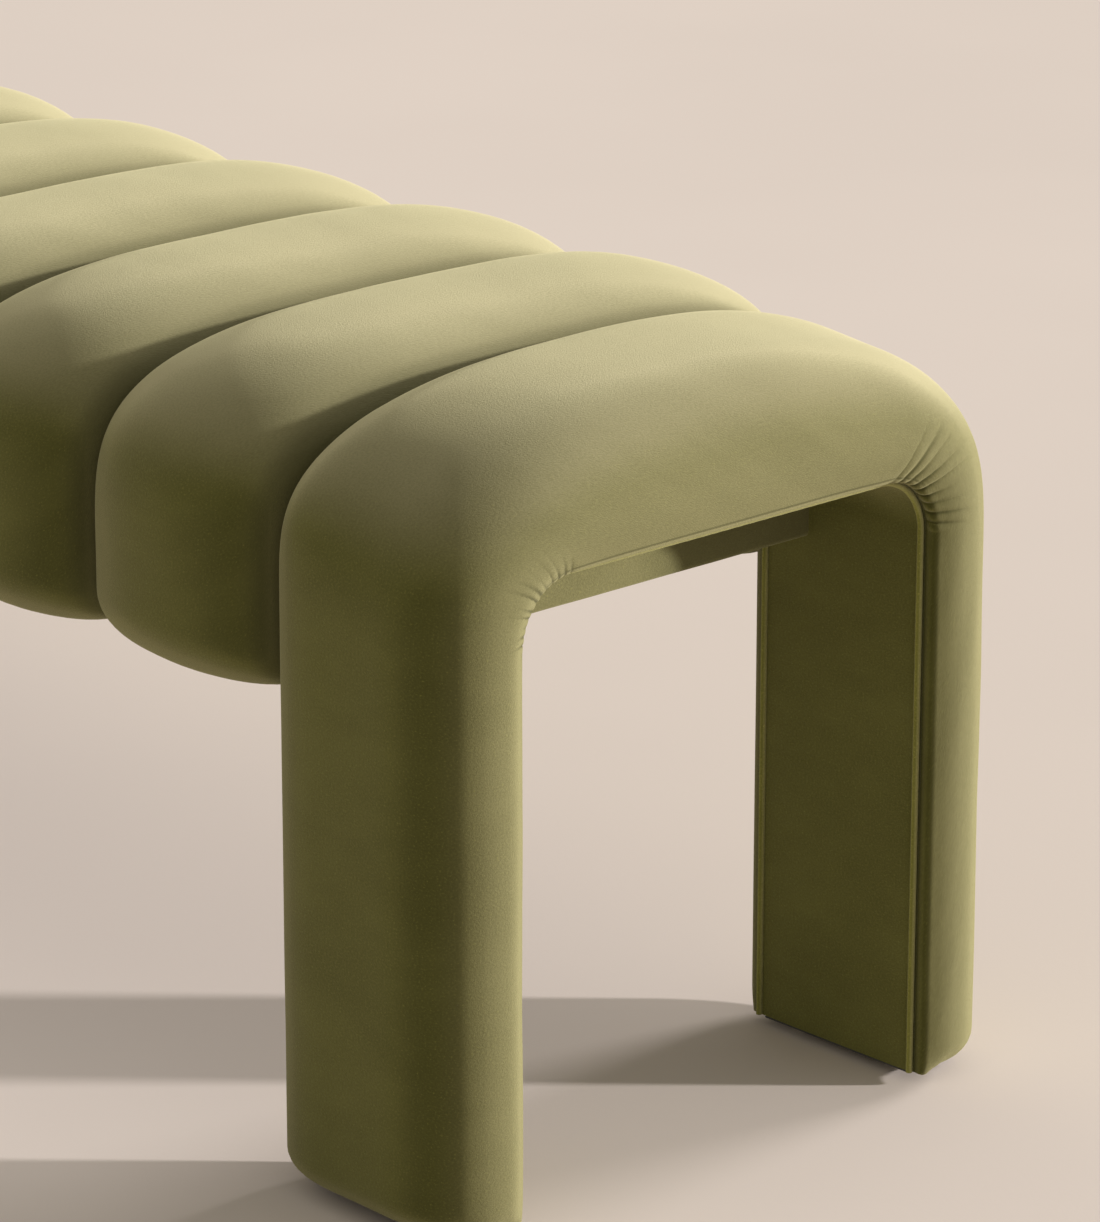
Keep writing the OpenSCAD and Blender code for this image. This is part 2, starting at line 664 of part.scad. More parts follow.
module base_cloths(side) {
    w = channel_w - 2 * foot_tuck_r - 2 * velvet_t;
    depth = arch_d / 2 - half_opening - foot_tuck_r;
    color(black_cloth) at_end(side) for (m = [0, 1]) mirror([0, m, 0]) difference() {
        translate([-w / 2, -half_opening - depth, glide_h]) cube([w, depth - soft_gap, cloth_t]);
        for (x = [-glide_dx, glide_dx]) translate([x, -glide_y, glide_h - cut_over])
            cylinder(h = cloth_t + 2 * cut_over, d = nail_d + 2 * pilot_gap);
    }
}

module glides(side) {
    color(plastic) at_end(side) for (m = [-1, 1], x = [-glide_dx, glide_dx])
        translate([x, m * glide_y, 0]) {
            cylinder(h = glide_h, d1 = glide_d - nail_d, d2 = glide_d);
            cylinder(h = glide_h + nail_l, d = nail_d);
        }
}

module arch_bolts() {
    z = rail_bottom + head_recess - washer_t - bolt_head_h;
    color(steel) for (side = [-1, 1]) at_end(side) for (y = bolt_ys) translate([bolt_x, y, z]) {
        cylinder(h = bolt_head_h, d = bolt_head_d, $fn = 6);
        cylinder(h = frame_top_z - bolt_top_play - z, d = bolt_d);
    }
}

module bolt_washers() {
    color(steel) for (side = [-1, 1]) at_end(side) for (y = bolt_ys)
        translate([bolt_x, y, rail_bottom + head_recess - washer_t]) difference() {
            cylinder(h = washer_t, d = washer_d);
            translate([0, 0, -cut_over]) cylinder(h = washer_t + 2 * cut_over, d = bolt_d + 2 * thread_gap);
        }
}

module tee_nuts() {
    color(steel) for (side = [-1, 1]) at_end(side) for (y = bolt_ys)
        translate([bolt_x, y, frame_top_z - tee_flange_t]) difference() {
            union() {
                cylinder(h = tee_flange_t, d = tee_flange_d);
                translate([0, 0, -tee_barrel_h]) cylinder(h = tee_barrel_h, d = tee_barrel_d);
            }
            translate([0, 0, -tee_barrel_h - cut_over])
                cylinder(h = tee_barrel_h + tee_flange_t + 2 * cut_over, d = bolt_d + 2 * thread_gap);
        }
}

// Countersunk screw along -Z from its head's face, made wider by gap on all sides
module screw(l, gap) {
    translate([0, 0, -l - gap]) cylinder(h = l + gap, d = screw_d + 2 * gap);
    translate([0, 0, -screw_head_h])
        cylinder(h = screw_head_h, d1 = screw_d + 2 * gap, d2 = screw_head_d + 2 * gap);
}

module deck_screw_shapes(gap) {
    reach = seat_l / 2 - deck_screw_inset;
    for (k = [0 : deck_screw_count - 1], m = [-1, 1])
        translate([-reach + 2 * reach * k / (deck_screw_count - 1), m * rail_mid_y, deck_top])
            screw(deck_screw_l, gap);
}

module end_rail_screw_shapes(gap) {
    for (m = [-1, 1], z = rail_screw_zs) translate([end_rail_x, m * rail_mid_y, z]) rotate([0, 90, 0])
        screw(rail_screw_l, gap);
}

module deck_screws() {
    color(steel) deck_screw_shapes(0);
}

module end_rail_screws() {
    color(steel) for (side = [-1, 1]) at_end(side) end_rail_screw_shapes(0);
}

long_rail(0);  // front_rail
long_rail(1);  // back_rail
apron(0);  // front_apron
apron(1);  // back_apron
seat_deck();
end_rail(-1);  // end_rail_left
end_rail(1);  // end_rail_right
cross_rail(-1);  // cross_rail_left
cross_rail(0);  // cross_rail_middle
cross_rail(1);  // cross_rail_right
leg_post(-1, 0);  // leg_post_left_front
leg_post(-1, 1);  // leg_post_left_back
leg_post(1, 0);  // leg_post_right_front
leg_post(1, 1);  // leg_post_right_back
arch_top_rail(-1);  // arch_top_rail_left
arch_top_rail(1);  // arch_top_rail_right
glue_blocks(-1);  // glue_blocks_left
glue_blocks(1);  // glue_blocks_right
lining_board(-1);  // lining_board_left
lining_board(1);  // lining_board_right
lining_cover(-1);  // lining_cover_left
lining_cover(1);  // lining_cover_right
piping(-1);  // piping_left
piping(1);  // piping_right
arch_foam(-1);  // arch_foam_left
arch_foam(1);  // arch_foam_right
arch_cover(-1);  // arch_cover_left
arch_cover(1);  // arch_cover_right
fascia_cover(-1);  // fascia_cover_left
fascia_cover(1);  // fascia_cover_right
channel_foam(1);  // channel_foam_1
channel_foam(2);  // channel_foam_2
channel_foam(3);  // channel_foam_3
channel_foam(4);  // channel_foam_4
channel_foam(5);  // channel_foam_5
channel_foam(6);  // channel_foam_6
channel_foam(7);  // channel_foam_7
channel_foam(8);  // channel_foam_8
channel_cover(1);  // channel_cover_1
channel_cover(2);  // channel_cover_2
channel_cover(3);  // channel_cover_3
channel_cover(4);  // channel_cover_4
channel_cover(5);  // channel_cover_5
channel_cover(6);  // channel_cover_6
channel_cover(7);  // channel_cover_7
channel_cover(8);  // channel_cover_8
dust_cover();
base_cloths(-1);  // base_cloths_left
base_cloths(1);  // base_cloths_right
glides(-1);  // glides_left
glides(1);  // glides_right
arch_bolts();
bolt_washers();
tee_nuts();
deck_screws();
end_rail_screws();
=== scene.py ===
import math

import bmesh
import bpy
import numpy as np
from mathutils import Matrix, Vector, noise


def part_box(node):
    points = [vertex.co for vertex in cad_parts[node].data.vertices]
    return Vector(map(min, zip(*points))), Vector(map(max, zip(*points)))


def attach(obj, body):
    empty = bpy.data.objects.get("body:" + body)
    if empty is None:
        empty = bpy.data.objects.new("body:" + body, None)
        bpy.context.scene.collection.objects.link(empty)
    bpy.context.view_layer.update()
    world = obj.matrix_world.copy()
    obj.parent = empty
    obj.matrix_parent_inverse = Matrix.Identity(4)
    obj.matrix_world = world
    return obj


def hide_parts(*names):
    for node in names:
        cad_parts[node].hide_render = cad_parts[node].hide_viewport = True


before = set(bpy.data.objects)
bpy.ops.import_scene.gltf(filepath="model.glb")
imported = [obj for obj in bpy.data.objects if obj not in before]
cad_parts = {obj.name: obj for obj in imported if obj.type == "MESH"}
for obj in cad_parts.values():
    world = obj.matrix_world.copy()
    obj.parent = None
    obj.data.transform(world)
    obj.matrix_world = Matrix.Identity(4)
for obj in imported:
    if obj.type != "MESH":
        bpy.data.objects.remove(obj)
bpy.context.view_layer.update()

bl_info = {
    "name": "Channelled Velvet Bench",
    "version": (1, 0, 0),
    "blender": (4, 5, 0),
    "location": "View3D > Sidebar > Bench",
    "description": "Dresses the bench frame in padded velvet channels, arches, linings and trim",
    "category": "Add Mesh",
}

CHANNELS = 8
ENDS = {"left": -1, "right": 1}
WOODEN = ("front_rail", "back_rail", "end_rail_left", "end_rail_right", "cross_rail_left",
          "cross_rail_middle", "cross_rail_right", "leg_post_left_front", "leg_post_left_back",
          "leg_post_right_front", "leg_post_right_back", "arch_top_rail_left",
          "arch_top_rail_right", "glue_blocks_left", "glue_blocks_right")
PLYWOOD = ("seat_deck", "front_apron", "back_apron", "lining_board_left", "lining_board_right")
STEEL = ("arch_bolts", "bolt_washers", "tee_nuts", "deck_screws", "end_rail_screws")

channel_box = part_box("channel_cover_1")
arch_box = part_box("arch_cover_right")
lining_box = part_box("lining_cover_right")
fascia_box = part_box("fascia_cover_right")
dust_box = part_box("dust_cover")
cloth_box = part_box("base_cloths_right")
glide_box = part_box("glides_right")

CHANNEL_GAP = 0.0006  # room between the covers of two channels
HEM_ROOM = 0.002  # room between a channel's hem and the rail
VALLEY_START, VALLEY_FADE = 0.78, 0.16  # sides of a channel where shade is painted in the valleys, as shares of its half width
CORNER_RINGS, TOP_RINGS = 120, 24  # rings of an arch round its corner and along half its top
# Squareness of an arch's outline at its sides and its crown: at the bench's end, beside the seat
END_POWERS, SEAT_POWERS = (2.36, 3.74), (2.26, 3.06)
SIDE_POWERS = 2.3, 3.2  # squareness of an arch's cross-section at its end side and its seat side
ARCH_NAP = 3.0  # where the pile's texture starts on the arches
EDGE_LINE = 0.0102  # from an arch's outer seam to the painted shade line along its crown's lower edge, with the painted highlight strip on the seam's side of it
LINING_WAVE = 0.00035  # height of the soft creases in the corners of a lining
FASCIA_SWELL = 0.0007  # how far a fascia swells in its middle
FAINT_SWELL = 0.0003  # height of the faint swells all over linings and fascias
PIPING_RINGS = 640  # rings along a piped seam
HEM_WIDTH, HEM_DROP = 0.012, 0.0004  # the folded long edges of the dust cloth
LEG_CLOTH_INSIDE = 0.1518  # from the bench's middle to the inner edge of a leg's cloth
# Gathers at the corners of an arch's outer seam: lean, stand, roundness of the folds, strength of
# the shade painted in the creases
GATHERS = {"front": (0.25, 0.45, 0.55, 1.5), "back": (0.55, 0.9, 0.75, 0.85)}
# How much paler than the arches and channels each velvet is. All are the same cloth: the lining's
# and fascia's velvet is painted a little paler as painted light, the piping's much paler as a
# painted highlight
VELVET_PAINTED_TONES = {"olive velvet": 1.0, "olive velvet lining": 1.12, "olive velvet piping": 2.4}


def length(name, description, default):
    """A length in metres that the sidebar shows with its unit."""
    return bpy.props.FloatProperty(name=name, description=description, default=default,
                                   min=0.0, precision=4, unit="LENGTH", subtype="DISTANCE")


def number(name, description, default):
    """A plain number."""
    return bpy.props.FloatProperty(name=name, description=description, default=default, precision=3)


def angle(name, description, degrees):
    """An angle, given in degrees."""
    return bpy.props.FloatProperty(name=name, description=description,
                                   default=math.radians(degrees), unit="ROTATION", subtype="ANGLE")


def count(name, description, default):
    """A whole number."""
    return bpy.props.IntProperty(name=name, description=description, default=default, min=1)


def colour(name, description, *rgb):
    """A colour, written as the 0 to 255 values of a screen."""
    linear = [((c / 255 + 0.055) / 1.055) ** 2.4 if c > 10 else c / 255 / 12.92 for c in rgb]
    return bpy.props.FloatVectorProperty(name=name, description=description, default=linear,
                                         min=0.0, max=1.0, size=3, subtype="COLOR")


class SeatSizes(bpy.types.PropertyGroup):
    """Sizes of the seat channels"""

    channel_width: length("Channel width", "Width of one padded channel",
                          channel_box[1].x - channel_box[0].x)
    depth: length("Depth", "Depth over the channel crowns", channel_box[1].y * 2)
    height: length("Height", "Height of the channel crowns", channel_box[1].z)
    underside: length("Underside", "Height of the underside", channel_box[0].z)
    seam_drop: length("Seam drop", "How far a seam lies below the crowns", 0.031)
    seam_rise: length("Seam rise", "How far a seam rises underneath", 0.017)
    shoulder: length("Shoulder", "Height at which the front curves into the top", 0.329)
    round_depth: length("Lower round depth", "Depth of the lower rounding", 0.047)
    round_height: length("Lower round height", "Height of the lower rounding", 0.036)
    hem_inside: length("Hem place", "Where the cover ends under the rail", 0.1508)
    hem_height: length("Hem height", "Height at which the cover ends under the rail", 0.3037)
    deck_top: length("Deck top", "Height of the deck under the foam", 0.4003)
    deck_bevel: length("Deck bevel", "Bevel of the deck's long edges", 0.042)
    apron_face: length("Apron face", "Distance of the apron's face from the middle", 0.1803)
    side_power: number("Side power", "Squareness of the profile at its sides", 3.2)
    top_power: number("Top power", "Squareness of the profile at its top", 3.6)
    crown_power: number("Crown power", "Squareness of a channel's crown", 2.1)
    strips: count("Strips", "Faces across a channel", 30)
    steps: count("Steps", "Faces along a channel", 210)
    unevenness: length("Unevenness", "Soft dents and swells of the foam", 0.0007)
    # Painted shade: how dark the valleys between the channels are painted
    valley_shade: number("Valley shade", "How far the pile in the valleys is pressed and dark", 0.6)


class ArchSizes(bpy.types.PropertyGroup):
    """Sizes of the upholstered arches"""

    middle: length("Middle", "Distance of an arch's middle plane from the bench's",
                   (arch_box[0].x + arch_box[1].x) / 2)
    depth: length("Depth", "Depth over the legs", arch_box[1].y * 2)
    foot: length("Foot", "Height at which the cover ends", arch_box[0].z)
    opening_width: length("Opening width", "Width between the legs", 0.303)
    opening_height: length("Opening height", "Height of the opening", 0.359)
    opening_radius: length("Opening radius", "Radius of the opening's corners", 0.034)
    panel_width: length("Panel width", "Width between the two piped seams", 0.124)
    full_width: length("Full width", "Width of the arch where it is widest", 0.1514)
    end_height: length("End height", "Height of the crown at the bench's end", 0.442)
    seat_height: length("Seat side height", "Height of the crown beside the seat", 0.446)
    end_shoulder: length("End shoulder", "Height of the shoulder at the bench's end", 0.294)
    seat_shoulder: length("Seat side shoulder", "Height of the shoulder beside the seat", 0.347)
    flat_width: length("Flat width", "Flat middle of a leg's outer face", 0.035)
    corner_depth: length("Corner depth", "Where the corner ends on top", 0.140)
    tuck: length("Foot tuck", "Radius of the tuck at the foot", 0.018)
    frame_half: length("Frame half width", "Half width of the frame in the arch", 0.0563)
    post_face: length("Post face", "Distance of the posts' outer face", 0.1931)
    rail_top: length("Rail top", "Height of the arch's top rail", 0.4006)
    rail_bevel: length("Rail bevel", "Bevel of the frame's upper corners", 0.048)
    widest: number("Widest place", "Share of the thickness at which the sides are widest", 0.31)
    unevenness: length("Unevenness", "Soft dents and swells of the foam", 0.0006)


class SewingSizes(bpy.types.PropertyGroup):
    """Gathers at the arch corners, piping, staples and glides"""

    short_pitch: length("Short gather pitch", "From gather to gather at the front corner", 0.0044)
    long_pitch: length("Long gather pitch", "From gather to gather at the back corner", 0.0060)
    gather_height: length("Gather height", "Height of the gathers", 0.0019)
    short_gather: length("Short gather", "Reach of the gathers at the front corner", 0.017)
    long_gather: length("Long gather", "Reach of the gathers at the back corner", 0.026)
    seam_pucker: length("Seam pucker", "Height of the puckers along a straight seam", 0.0002)
    lip: length("Seam lip", "How far the cover's edge swells beside its seam", 0.0008)
    # Painted shade: width of the dark line painted in each crease between gathers
    crease_shade_width: length("Crease width", "Half width of a dark crease between gathers", 0.0009)
    # Painted shade: reach of the dark line painted beside the piping
    seam_shade: length("Seam line", "Reach of the dark line beside the piping", 0.0016)
    piping: length("Piping", "Diameter of the piping", 0.004)
    piping_proud: length("Piping stand", "How far the piping stands into the opening", 0.0028)
    piping_place: length("Piping place", "Distance of the piping from the arch's middle", 0.0597)
    lining_crown: length("Lining crown", "How far the lining swells in its middle", 0.0005)
    velvet: length("Velvet", "Thickness of velvet and wadding", 0.002)
    hem_roll: length("Hem roll", "Rounding of the fascia's lower edge", 0.0035)
    cloth_sag: length("Cloth sag", "Sag of the dust cloth", 0.0012)
    staple_pitch: length("Staple pitch", "Distance between two staples", 0.045)
    staple_width: length("Staple width", "Width of a staple", 0.010)
    staple_wire: length("Staple wire", "Thickness of a staple's wire", 0.0007)
    glide_radius: length("Glide radius", "Radius of a glide", 0.010)
    nail_radius: length("Nail head radius", "Radius of the nail head in a glide", 0.0034)


class BenchColours(bpy.types.PropertyGroup):
    """Colours of the bench and of the stage"""

    velvet: colour("Velvet", "Velvet seen along its pile", 103, 102, 50)
    velvet_deep: colour("Deep velvet", "Velvet seen into its pile", 76, 75, 29)
    # Painted light: this pale velvet is painted on the tops, the ends and the back side, where
    # light falls, and lends its tone to the painted sheen on the sides
    velvet_painted_light: colour("Pale velvet", "Velvet on the tops and the ends, brushed up", 140, 134, 99)
    # Painted sheen: the pale colour painted on the velvet where it is seen at a slant
    velvet_painted_sheen: colour("Velvet haze", "Velvet seen at a slant, across its pile", 238, 227, 184)
    velvet_sheen: colour("Velvet sheen", "Light that the pile's tips catch", 250, 247, 196)
    cambric: colour("Black cloth", "Dust cloth under the seat", 38, 37, 36)
    beech: colour("Hardwood", "Rails and posts", 205, 170, 128)
    beech_dark: colour("Hardwood grain", "Darker grain of the hardwood", 172, 130, 88)
    birch: colour("Plywood", "Faces of the plywood", 222, 196, 156)
    birch_edge: colour("Plywood layers", "Cross layers of the plywood", 176, 140, 98)
    steel: colour("Zinc steel", "Bolts, nuts, screws and staples", 196, 198, 200)
    nylon: colour("Nylon", "Glides", 228, 226, 218)
    floor: colour("Floor", "Studio floor", 227, 215, 206)
    backdrop: colour("Surround", "Pale light from all round", 251, 247, 236)


class StageSettings(bpy.types.PropertyGroup):
    """Camera and studio light"""

    place: bpy.props.FloatVectorProperty(name="Camera place", description="Where the camera stands",
                                         default=(2.8190, -2.0514, 1.2516), unit="LENGTH",
                                         subtype="TRANSLATION", size=3)
    azimuth: angle("Azimuth", "Turn of the camera from straight behind", 47.133)
    elevation: angle("Elevation", "How far the camera looks down", 17.863)
    roll: angle("Roll", "Turn of the camera about its view", 0.055)
    lens: number("Lens", "Focal length in millimetres on a 36 mm sensor", 170.48)
    key_turn: angle("Key turn", "Direction of the key light from the +X axis", 46.5)
    key_rise: angle("Key rise", "Height of the key light above the floor", 14.5)
    key_spread: angle("Key spread", "Apparent size of the key light", 2.6)
    key_strength: number("Key strength", "Strength of the key light", 4.0)
    key_colour: colour("Key colour", "Colour of the key light", 253, 250, 250)
    soft_turn: angle("Soft light turn", "Direction of the soft light from the +X axis", 86.0)
    soft_rise: angle("Soft light rise", "Height of the soft light above the floor", 20.5)
    soft_spread: angle("Soft light spread", "Apparent size of the soft light", 20.0)
    soft_strength: number("Soft light strength", "Strength of the soft light", 2.0)
    surround: number("Surround", "Strength of the light from all round", 0.46)


class Value:
    """One output socket of a finish. Arithmetic on it adds Math nodes."""

    def __init__(self, finish, socket):
        self.finish, self.socket = finish, socket

    def math(self, operation, *others):
        return self.finish.node("ShaderNodeMath", {"operation": operation},
                                dict(enumerate((self, *others))))

    def __add__(self, other):
        return self.math("ADD", other)

    def __sub__(self, other):
        return self.math("SUBTRACT", other)

    def __rsub__(self, other):
        return self.finish.node("ShaderNodeMath", {"operation": "SUBTRACT"}, {0: other, 1: self})

    def __mul__(self, other):
        return self.math("MULTIPLY", other)

    def __pow__(self, other):
        return self.math("POWER", other)

    __radd__, __rmul__ = __add__, __mul__

    def clamped(self):
        return self.finish.node("ShaderNodeClamp", {}, {"Value": self})

    def between(self, low, high):
        """Runs smoothly from 0 at low to 1 at high."""
        return self.finish.node("ShaderNodeMapRange", {"interpolation_type": "SMOOTHSTEP"},
                                {"Value": self, "From Min": low, "From Max": high})


class Finish:
    """A material that is being made."""

    def __init__(self, name, **constants):
        self.material = bpy.data.materials.new(name)
        self.material.use_nodes = True
        self.tree = self.material.node_tree
        self.shader = self.tree.nodes["Principled BSDF"]
        self.done(**constants)

    def feed(self, socket, value):
        if isinstance(value, Value):
            self.tree.links.new(value.socket, socket)
        elif hasattr(value, "__len__") and len(value) == 3 and socket.type == "RGBA":
            socket.default_value = (*value, 1.0)
        else:
            socket.default_value = value

    def node(self, kind, settings, inputs, out=0):
        """Any node: its settings are set first, then its sockets. Gives one of its outputs."""
        made = self.tree.nodes.new(kind)
        for key, value in settings.items():
            setattr(made, key, value)
        for key, value in inputs.items():
            self.feed(made.inputs[key], value)
        return Value(self, made.outputs[out])

    def place(self):
        return self.node("ShaderNodeTexCoord", {}, {}, "Object")

    def marks(self, name, out="Fac"):
        """What the mesh says at each point, such as how much shade is painted there."""
        return self.node("ShaderNodeAttribute", {"attribute_name": name}, {}, out)

    def part(self, vector, axis):
        return self.node("ShaderNodeSeparateXYZ", {}, {0: vector}, axis)

    def normal(self, axis):
        """One part of the surface's normal."""
        return self.part(self.node("ShaderNodeNewGeometry", {}, {}, "Normal"), axis)

    def stretched(self, vector, scale):
        return self.node("ShaderNodeVectorMath", {"operation": "MULTIPLY"}, {0: vector, 1: scale})

    def grain(self, vector, scale, detail=2.0, roughness=0.5):
        return self.node("ShaderNodeTexNoise", {}, {"Vector": self.stretched(vector, scale),
                         "Scale": 1.0, "Detail": detail, "Roughness": roughness})

    def mixed(self, share, low, high):
        return self.node("ShaderNodeMix", {"data_type": "RGBA"}, {0: share, 6: low, 7: high}, 2)

    def bumped(self, height, distance, strength=1.0, before=None):
        inputs = {"Height": height, "Distance": distance, "Strength": strength}
        if before is not None:
            inputs["Normal"] = before
        return self.node("ShaderNodeBump", {}, inputs)

    def done(self, **inputs):
        """Sets or links the shader's own sockets, and gives the material."""
        for socket, value in inputs.items():
            self.feed(self.shader.inputs[socket.replace("_", " ")], value)
        return self.material


def toned(colour, factor):
    """A colour made darker or paler by a factor."""
    return tuple(min(1.0, c * factor) for c in colour)


def velvet_finish(colours, name):
    """Cotton velvet: short pile in streaks, brushed patches, tips that catch the light."""
    f = Finish(name, Sheen_Weight=0.25, Sheen_Roughness=0.42, Sheen_Tint=colours.velvet_sheen,
               Specular_IOR_Level=0.15)
    nap = f.marks("nap", "Vector")
    tuft = f.grain(nap, (900.0, 680.0, 500.0), 3.0, 0.66)
    fibre = f.grain(nap, (1900.0, 1500.0, 900.0), 2.0, 0.6)
    brushed = f.grain(nap, (19.0, 10.0, 12.0), 3.0, 0.6)
    swept = f.grain(nap, (80.0, 34.0, 40.0), 2.0, 0.5)
    lay = (brushed.between(0.3, 0.72) * 0.55 + swept * 0.45).clamped()
    mottle = (tuft.between(0.34, 0.68) * 0.62 + fibre * 0.38).clamped()
    low = toned(colours.velvet_deep, VELVET_PAINTED_TONES[name])
    high = toned(colours.velvet, VELVET_PAINTED_TONES[name])
    base = f.mixed((lay * 0.6 + mottle * 0.7).clamped(), low, high)

    # Painted light: the tops, the ends and the back side are painted paler where light falls on
    # them. Painted shade: faces turned from the front toward an end are painted darker.
    aside, ahead, upward = f.normal(0).math("ABSOLUTE"), f.normal(1), f.normal(2).between(0.2, 1.0)
    lit_side = aside.math("MAXIMUM", ahead * 0.9).between(0.35, 1.15)
    painted_light_share = (lit_side * 0.6 + upward) * (0.62 + 0.46 * mottle + 0.24 * lay)
    base = f.mixed(painted_light_share.clamped(), base, colours.velvet_painted_light)
    painted_front_shade = (aside * 0.5 - ahead * 0.87).between(0.9, 0.99) * (1 - upward)
    base = f.mixed(painted_front_shade * 0.36, base, toned(low, 0.45))
    base = f.mixed(tuft.between(0.58, 0.76) * 0.6, base, toned(high, 1.7))

    # Painted sheen: where the cloth is seen at a slant, a pale sheen is painted into its colour,
    # paler on the tops.
    slant = f.node("ShaderNodeLayerWeight", {}, {"Blend": 0.5}, "Facing")
    painted_sheen = (slant ** 3 * (1.2 + 0.75 * mottle)).math("MINIMUM", 0.41) + slant ** 12 * 0.35
    painted_sheen_tone = f.mixed(upward, toned(colours.velvet_painted_light, 1.9), colours.velvet_painted_sheen)
    base = f.mixed(painted_sheen * (0.58 + 0.42 * upward), base, painted_sheen_tone)

    # Painted highlight: a pale strip along the crown's lower edge. Painted shade: a dark line above
    # it, and darker colour wherever the mesh marks painted shade.
    crown_edge, from_seam = f.marks("crown_edge"), f.part(nap, 1) - ARCH_NAP
    painted_edge_highlight = from_seam.between(EDGE_LINE, EDGE_LINE - 0.0014) * crown_edge
    painted_groove_shade = (1 - (from_seam - EDGE_LINE).math("ABSOLUTE").between(0.0002, 0.0012)) * crown_edge
    base = f.mixed(painted_edge_highlight * 0.2, base, painted_sheen_tone)
    painted_shade_amount = f.marks("painted_shade").math("MAXIMUM", painted_groove_shade * 0.7).clamped()
    base = f.mixed(painted_shade_amount * 0.72, base, toned(low, 0.4))
    fluff = f.bumped(tuft * 0.6 + fibre * 0.4, 0.0007, 0.75)
    return f.done(Base_Color=base, Roughness=0.82 + 0.14 * mottle,
                  Normal=f.bumped(swept, 0.0003, 0.3, fluff))


def cambric_finish(colours, name):
    """Thin black dust cloth: felted fibres with a pressed grid of tiny dots."""
    f = Finish(name, Sheen_Weight=0.25, Sheen_Roughness=0.6, Specular_IOR_Level=0.3)
    place = f.place()
    fibres = f.grain(place, (420.0, 1500.0, 900.0), 4.0, 0.7)
    dots = f.node("ShaderNodeTexVoronoi", {"feature": "F1"},
                  {"Vector": place, "Scale": 640.0, "Randomness": 0.15}, "Distance")
    pressed = dots.between(0.18, 0.34)
    tone = f.mixed((fibres.between(0.35, 0.7) * 0.7 + pressed * 0.3).clamped(),
                   colours.cambric, toned(colours.cambric, 2.1))
    return f.done(Base_Color=tone, Roughness=0.75 + 0.2 * fibres,
                  Normal=f.bumped(fibres * 0.5 + pressed * 0.5, 0.0003, 0.8))


def hardwood_finish(colours, name):
    """Planed beech: long wavy grain, short darker flecks and pores."""
    f = Finish(name, Specular_IOR_Level=0.35)
    place = f.place()
    drift = f.grain(place, (3.0, 20.0, 20.0), 3.0)
    rings = f.node("ShaderNodeTexWave", {"wave_type": "BANDS", "bands_direction": "Y"},
                   {"Vector": f.stretched(place, (2.0, 60.0, 38.0)), "Scale": 1.0,
                    "Distortion": 7.0, "Detail": 3.0, "Detail Scale": 1.2})
    flecks = f.grain(place, (120.0, 900.0, 900.0)).between(0.58, 0.7)
    pores = f.grain(place, (240.0, 2600.0, 2600.0)).between(0.6, 0.68)
    base = f.mixed((rings * 0.5 + drift * 0.4).clamped(), colours.beech, colours.beech_dark)
    flecked = f.mixed(flecks * 0.35, base, toned(colours.beech_dark, 0.55))
    return f.done(Base_Color=flecked, Roughness=0.52 + 0.2 * drift,
                  Normal=f.bumped(1 - pores * 0.6 - rings * 0.2, 0.0003, 0.6))


def plywood_finish(colours, name):
    """Birch plywood: calm face grain, with thin darker cross layers at the edges."""
    f = Finish(name, Specular_IOR_Level=0.3)
    place = f.place()
    grain = f.grain(place, (6.0, 90.0, 90.0), 4.0, 0.6)
    layers = f.node("ShaderNodeTexWave", {"wave_type": "BANDS", "bands_direction": "Z"},
                    {"Vector": place, "Scale": 105.0, "Distortion": 0.4, "Detail": 1.0})
    edge = 1 - f.normal(2).math("ABSOLUTE").between(0.5, 0.8)
    face = f.mixed(grain.between(0.3, 0.7), colours.birch, toned(colours.birch, 0.86))
    tone = f.mixed(edge * layers.between(0.35, 0.65), face, colours.birch_edge)
    return f.done(Base_Color=tone, Roughness=0.6 + 0.15 * grain,
                  Normal=f.bumped(grain * 0.6 + layers * edge * 0.4, 0.0002, 0.6))


def steel_finish(colours, name):
    """Bright zinc plate: fine drawing marks and cloudy crystals."""
    f = Finish(name, Metallic=1.0)
    place = f.place()
    cloud = f.grain(place, (160.0, 160.0, 160.0), 3.0)
    drawn = f.grain(place, (500.0, 500.0, 4200.0))
    tone = f.mixed(cloud.between(0.35, 0.7), colours.steel, toned(colours.steel, 0.78))
    return f.done(Base_Color=tone, Roughness=0.28 + 0.22 * drawn,
                  Normal=f.bumped(drawn, 0.00005, 0.7))


def nylon_finish(colours, name):
    """Moulded nylon with a faint skin texture and scuffs on its sliding face."""
    f = Finish(name, Specular_IOR_Level=0.45, Subsurface_Weight=0.08)
    place = f.place()
    skin = f.grain(place, (1800.0, 1800.0, 1800.0))
    scuff = f.grain(place, (240.0, 1900.0, 600.0), 3.0).between(0.56, 0.72)
    tone = f.mixed(scuff * 0.5, colours.nylon, toned(colours.nylon, 0.72))
    return f.done(Base_Color=tone, Roughness=0.34 + 0.3 * scuff + 0.08 * skin,
                  Normal=f.bumped(skin * 0.4 + scuff * 0.6, 0.00008, 0.6))


def floor_finish(colours, name):
    """Plain pale studio floor with a very faint mottle."""
    f = Finish(name, Specular_IOR_Level=0.0)
    place = f.place()
    cloud = f.grain(place, (1.3, 1.3, 1.3), 3.0)
    tooth = f.grain(place, (300.0, 300.0, 300.0))
    tone = f.mixed(cloud.between(0.3, 0.7), colours.floor, toned(colours.floor, 0.97))
    return f.done(Base_Color=tone, Roughness=0.7 + 0.1 * tooth,
                  Normal=f.bumped(tooth, 0.0001, 0.3))


def smooth(share):
    """Smooth step of a share from 0 to 1."""
    w = np.clip(share, 0, 1)
    return w * w * (3 - 2 * w)


def evenly(path, shares):
    """Points of a path at the given shares of its length."""
    run = distances(path)
    return np.stack([np.interp(shares * run[-1], run, places) for places in path.T], 1)


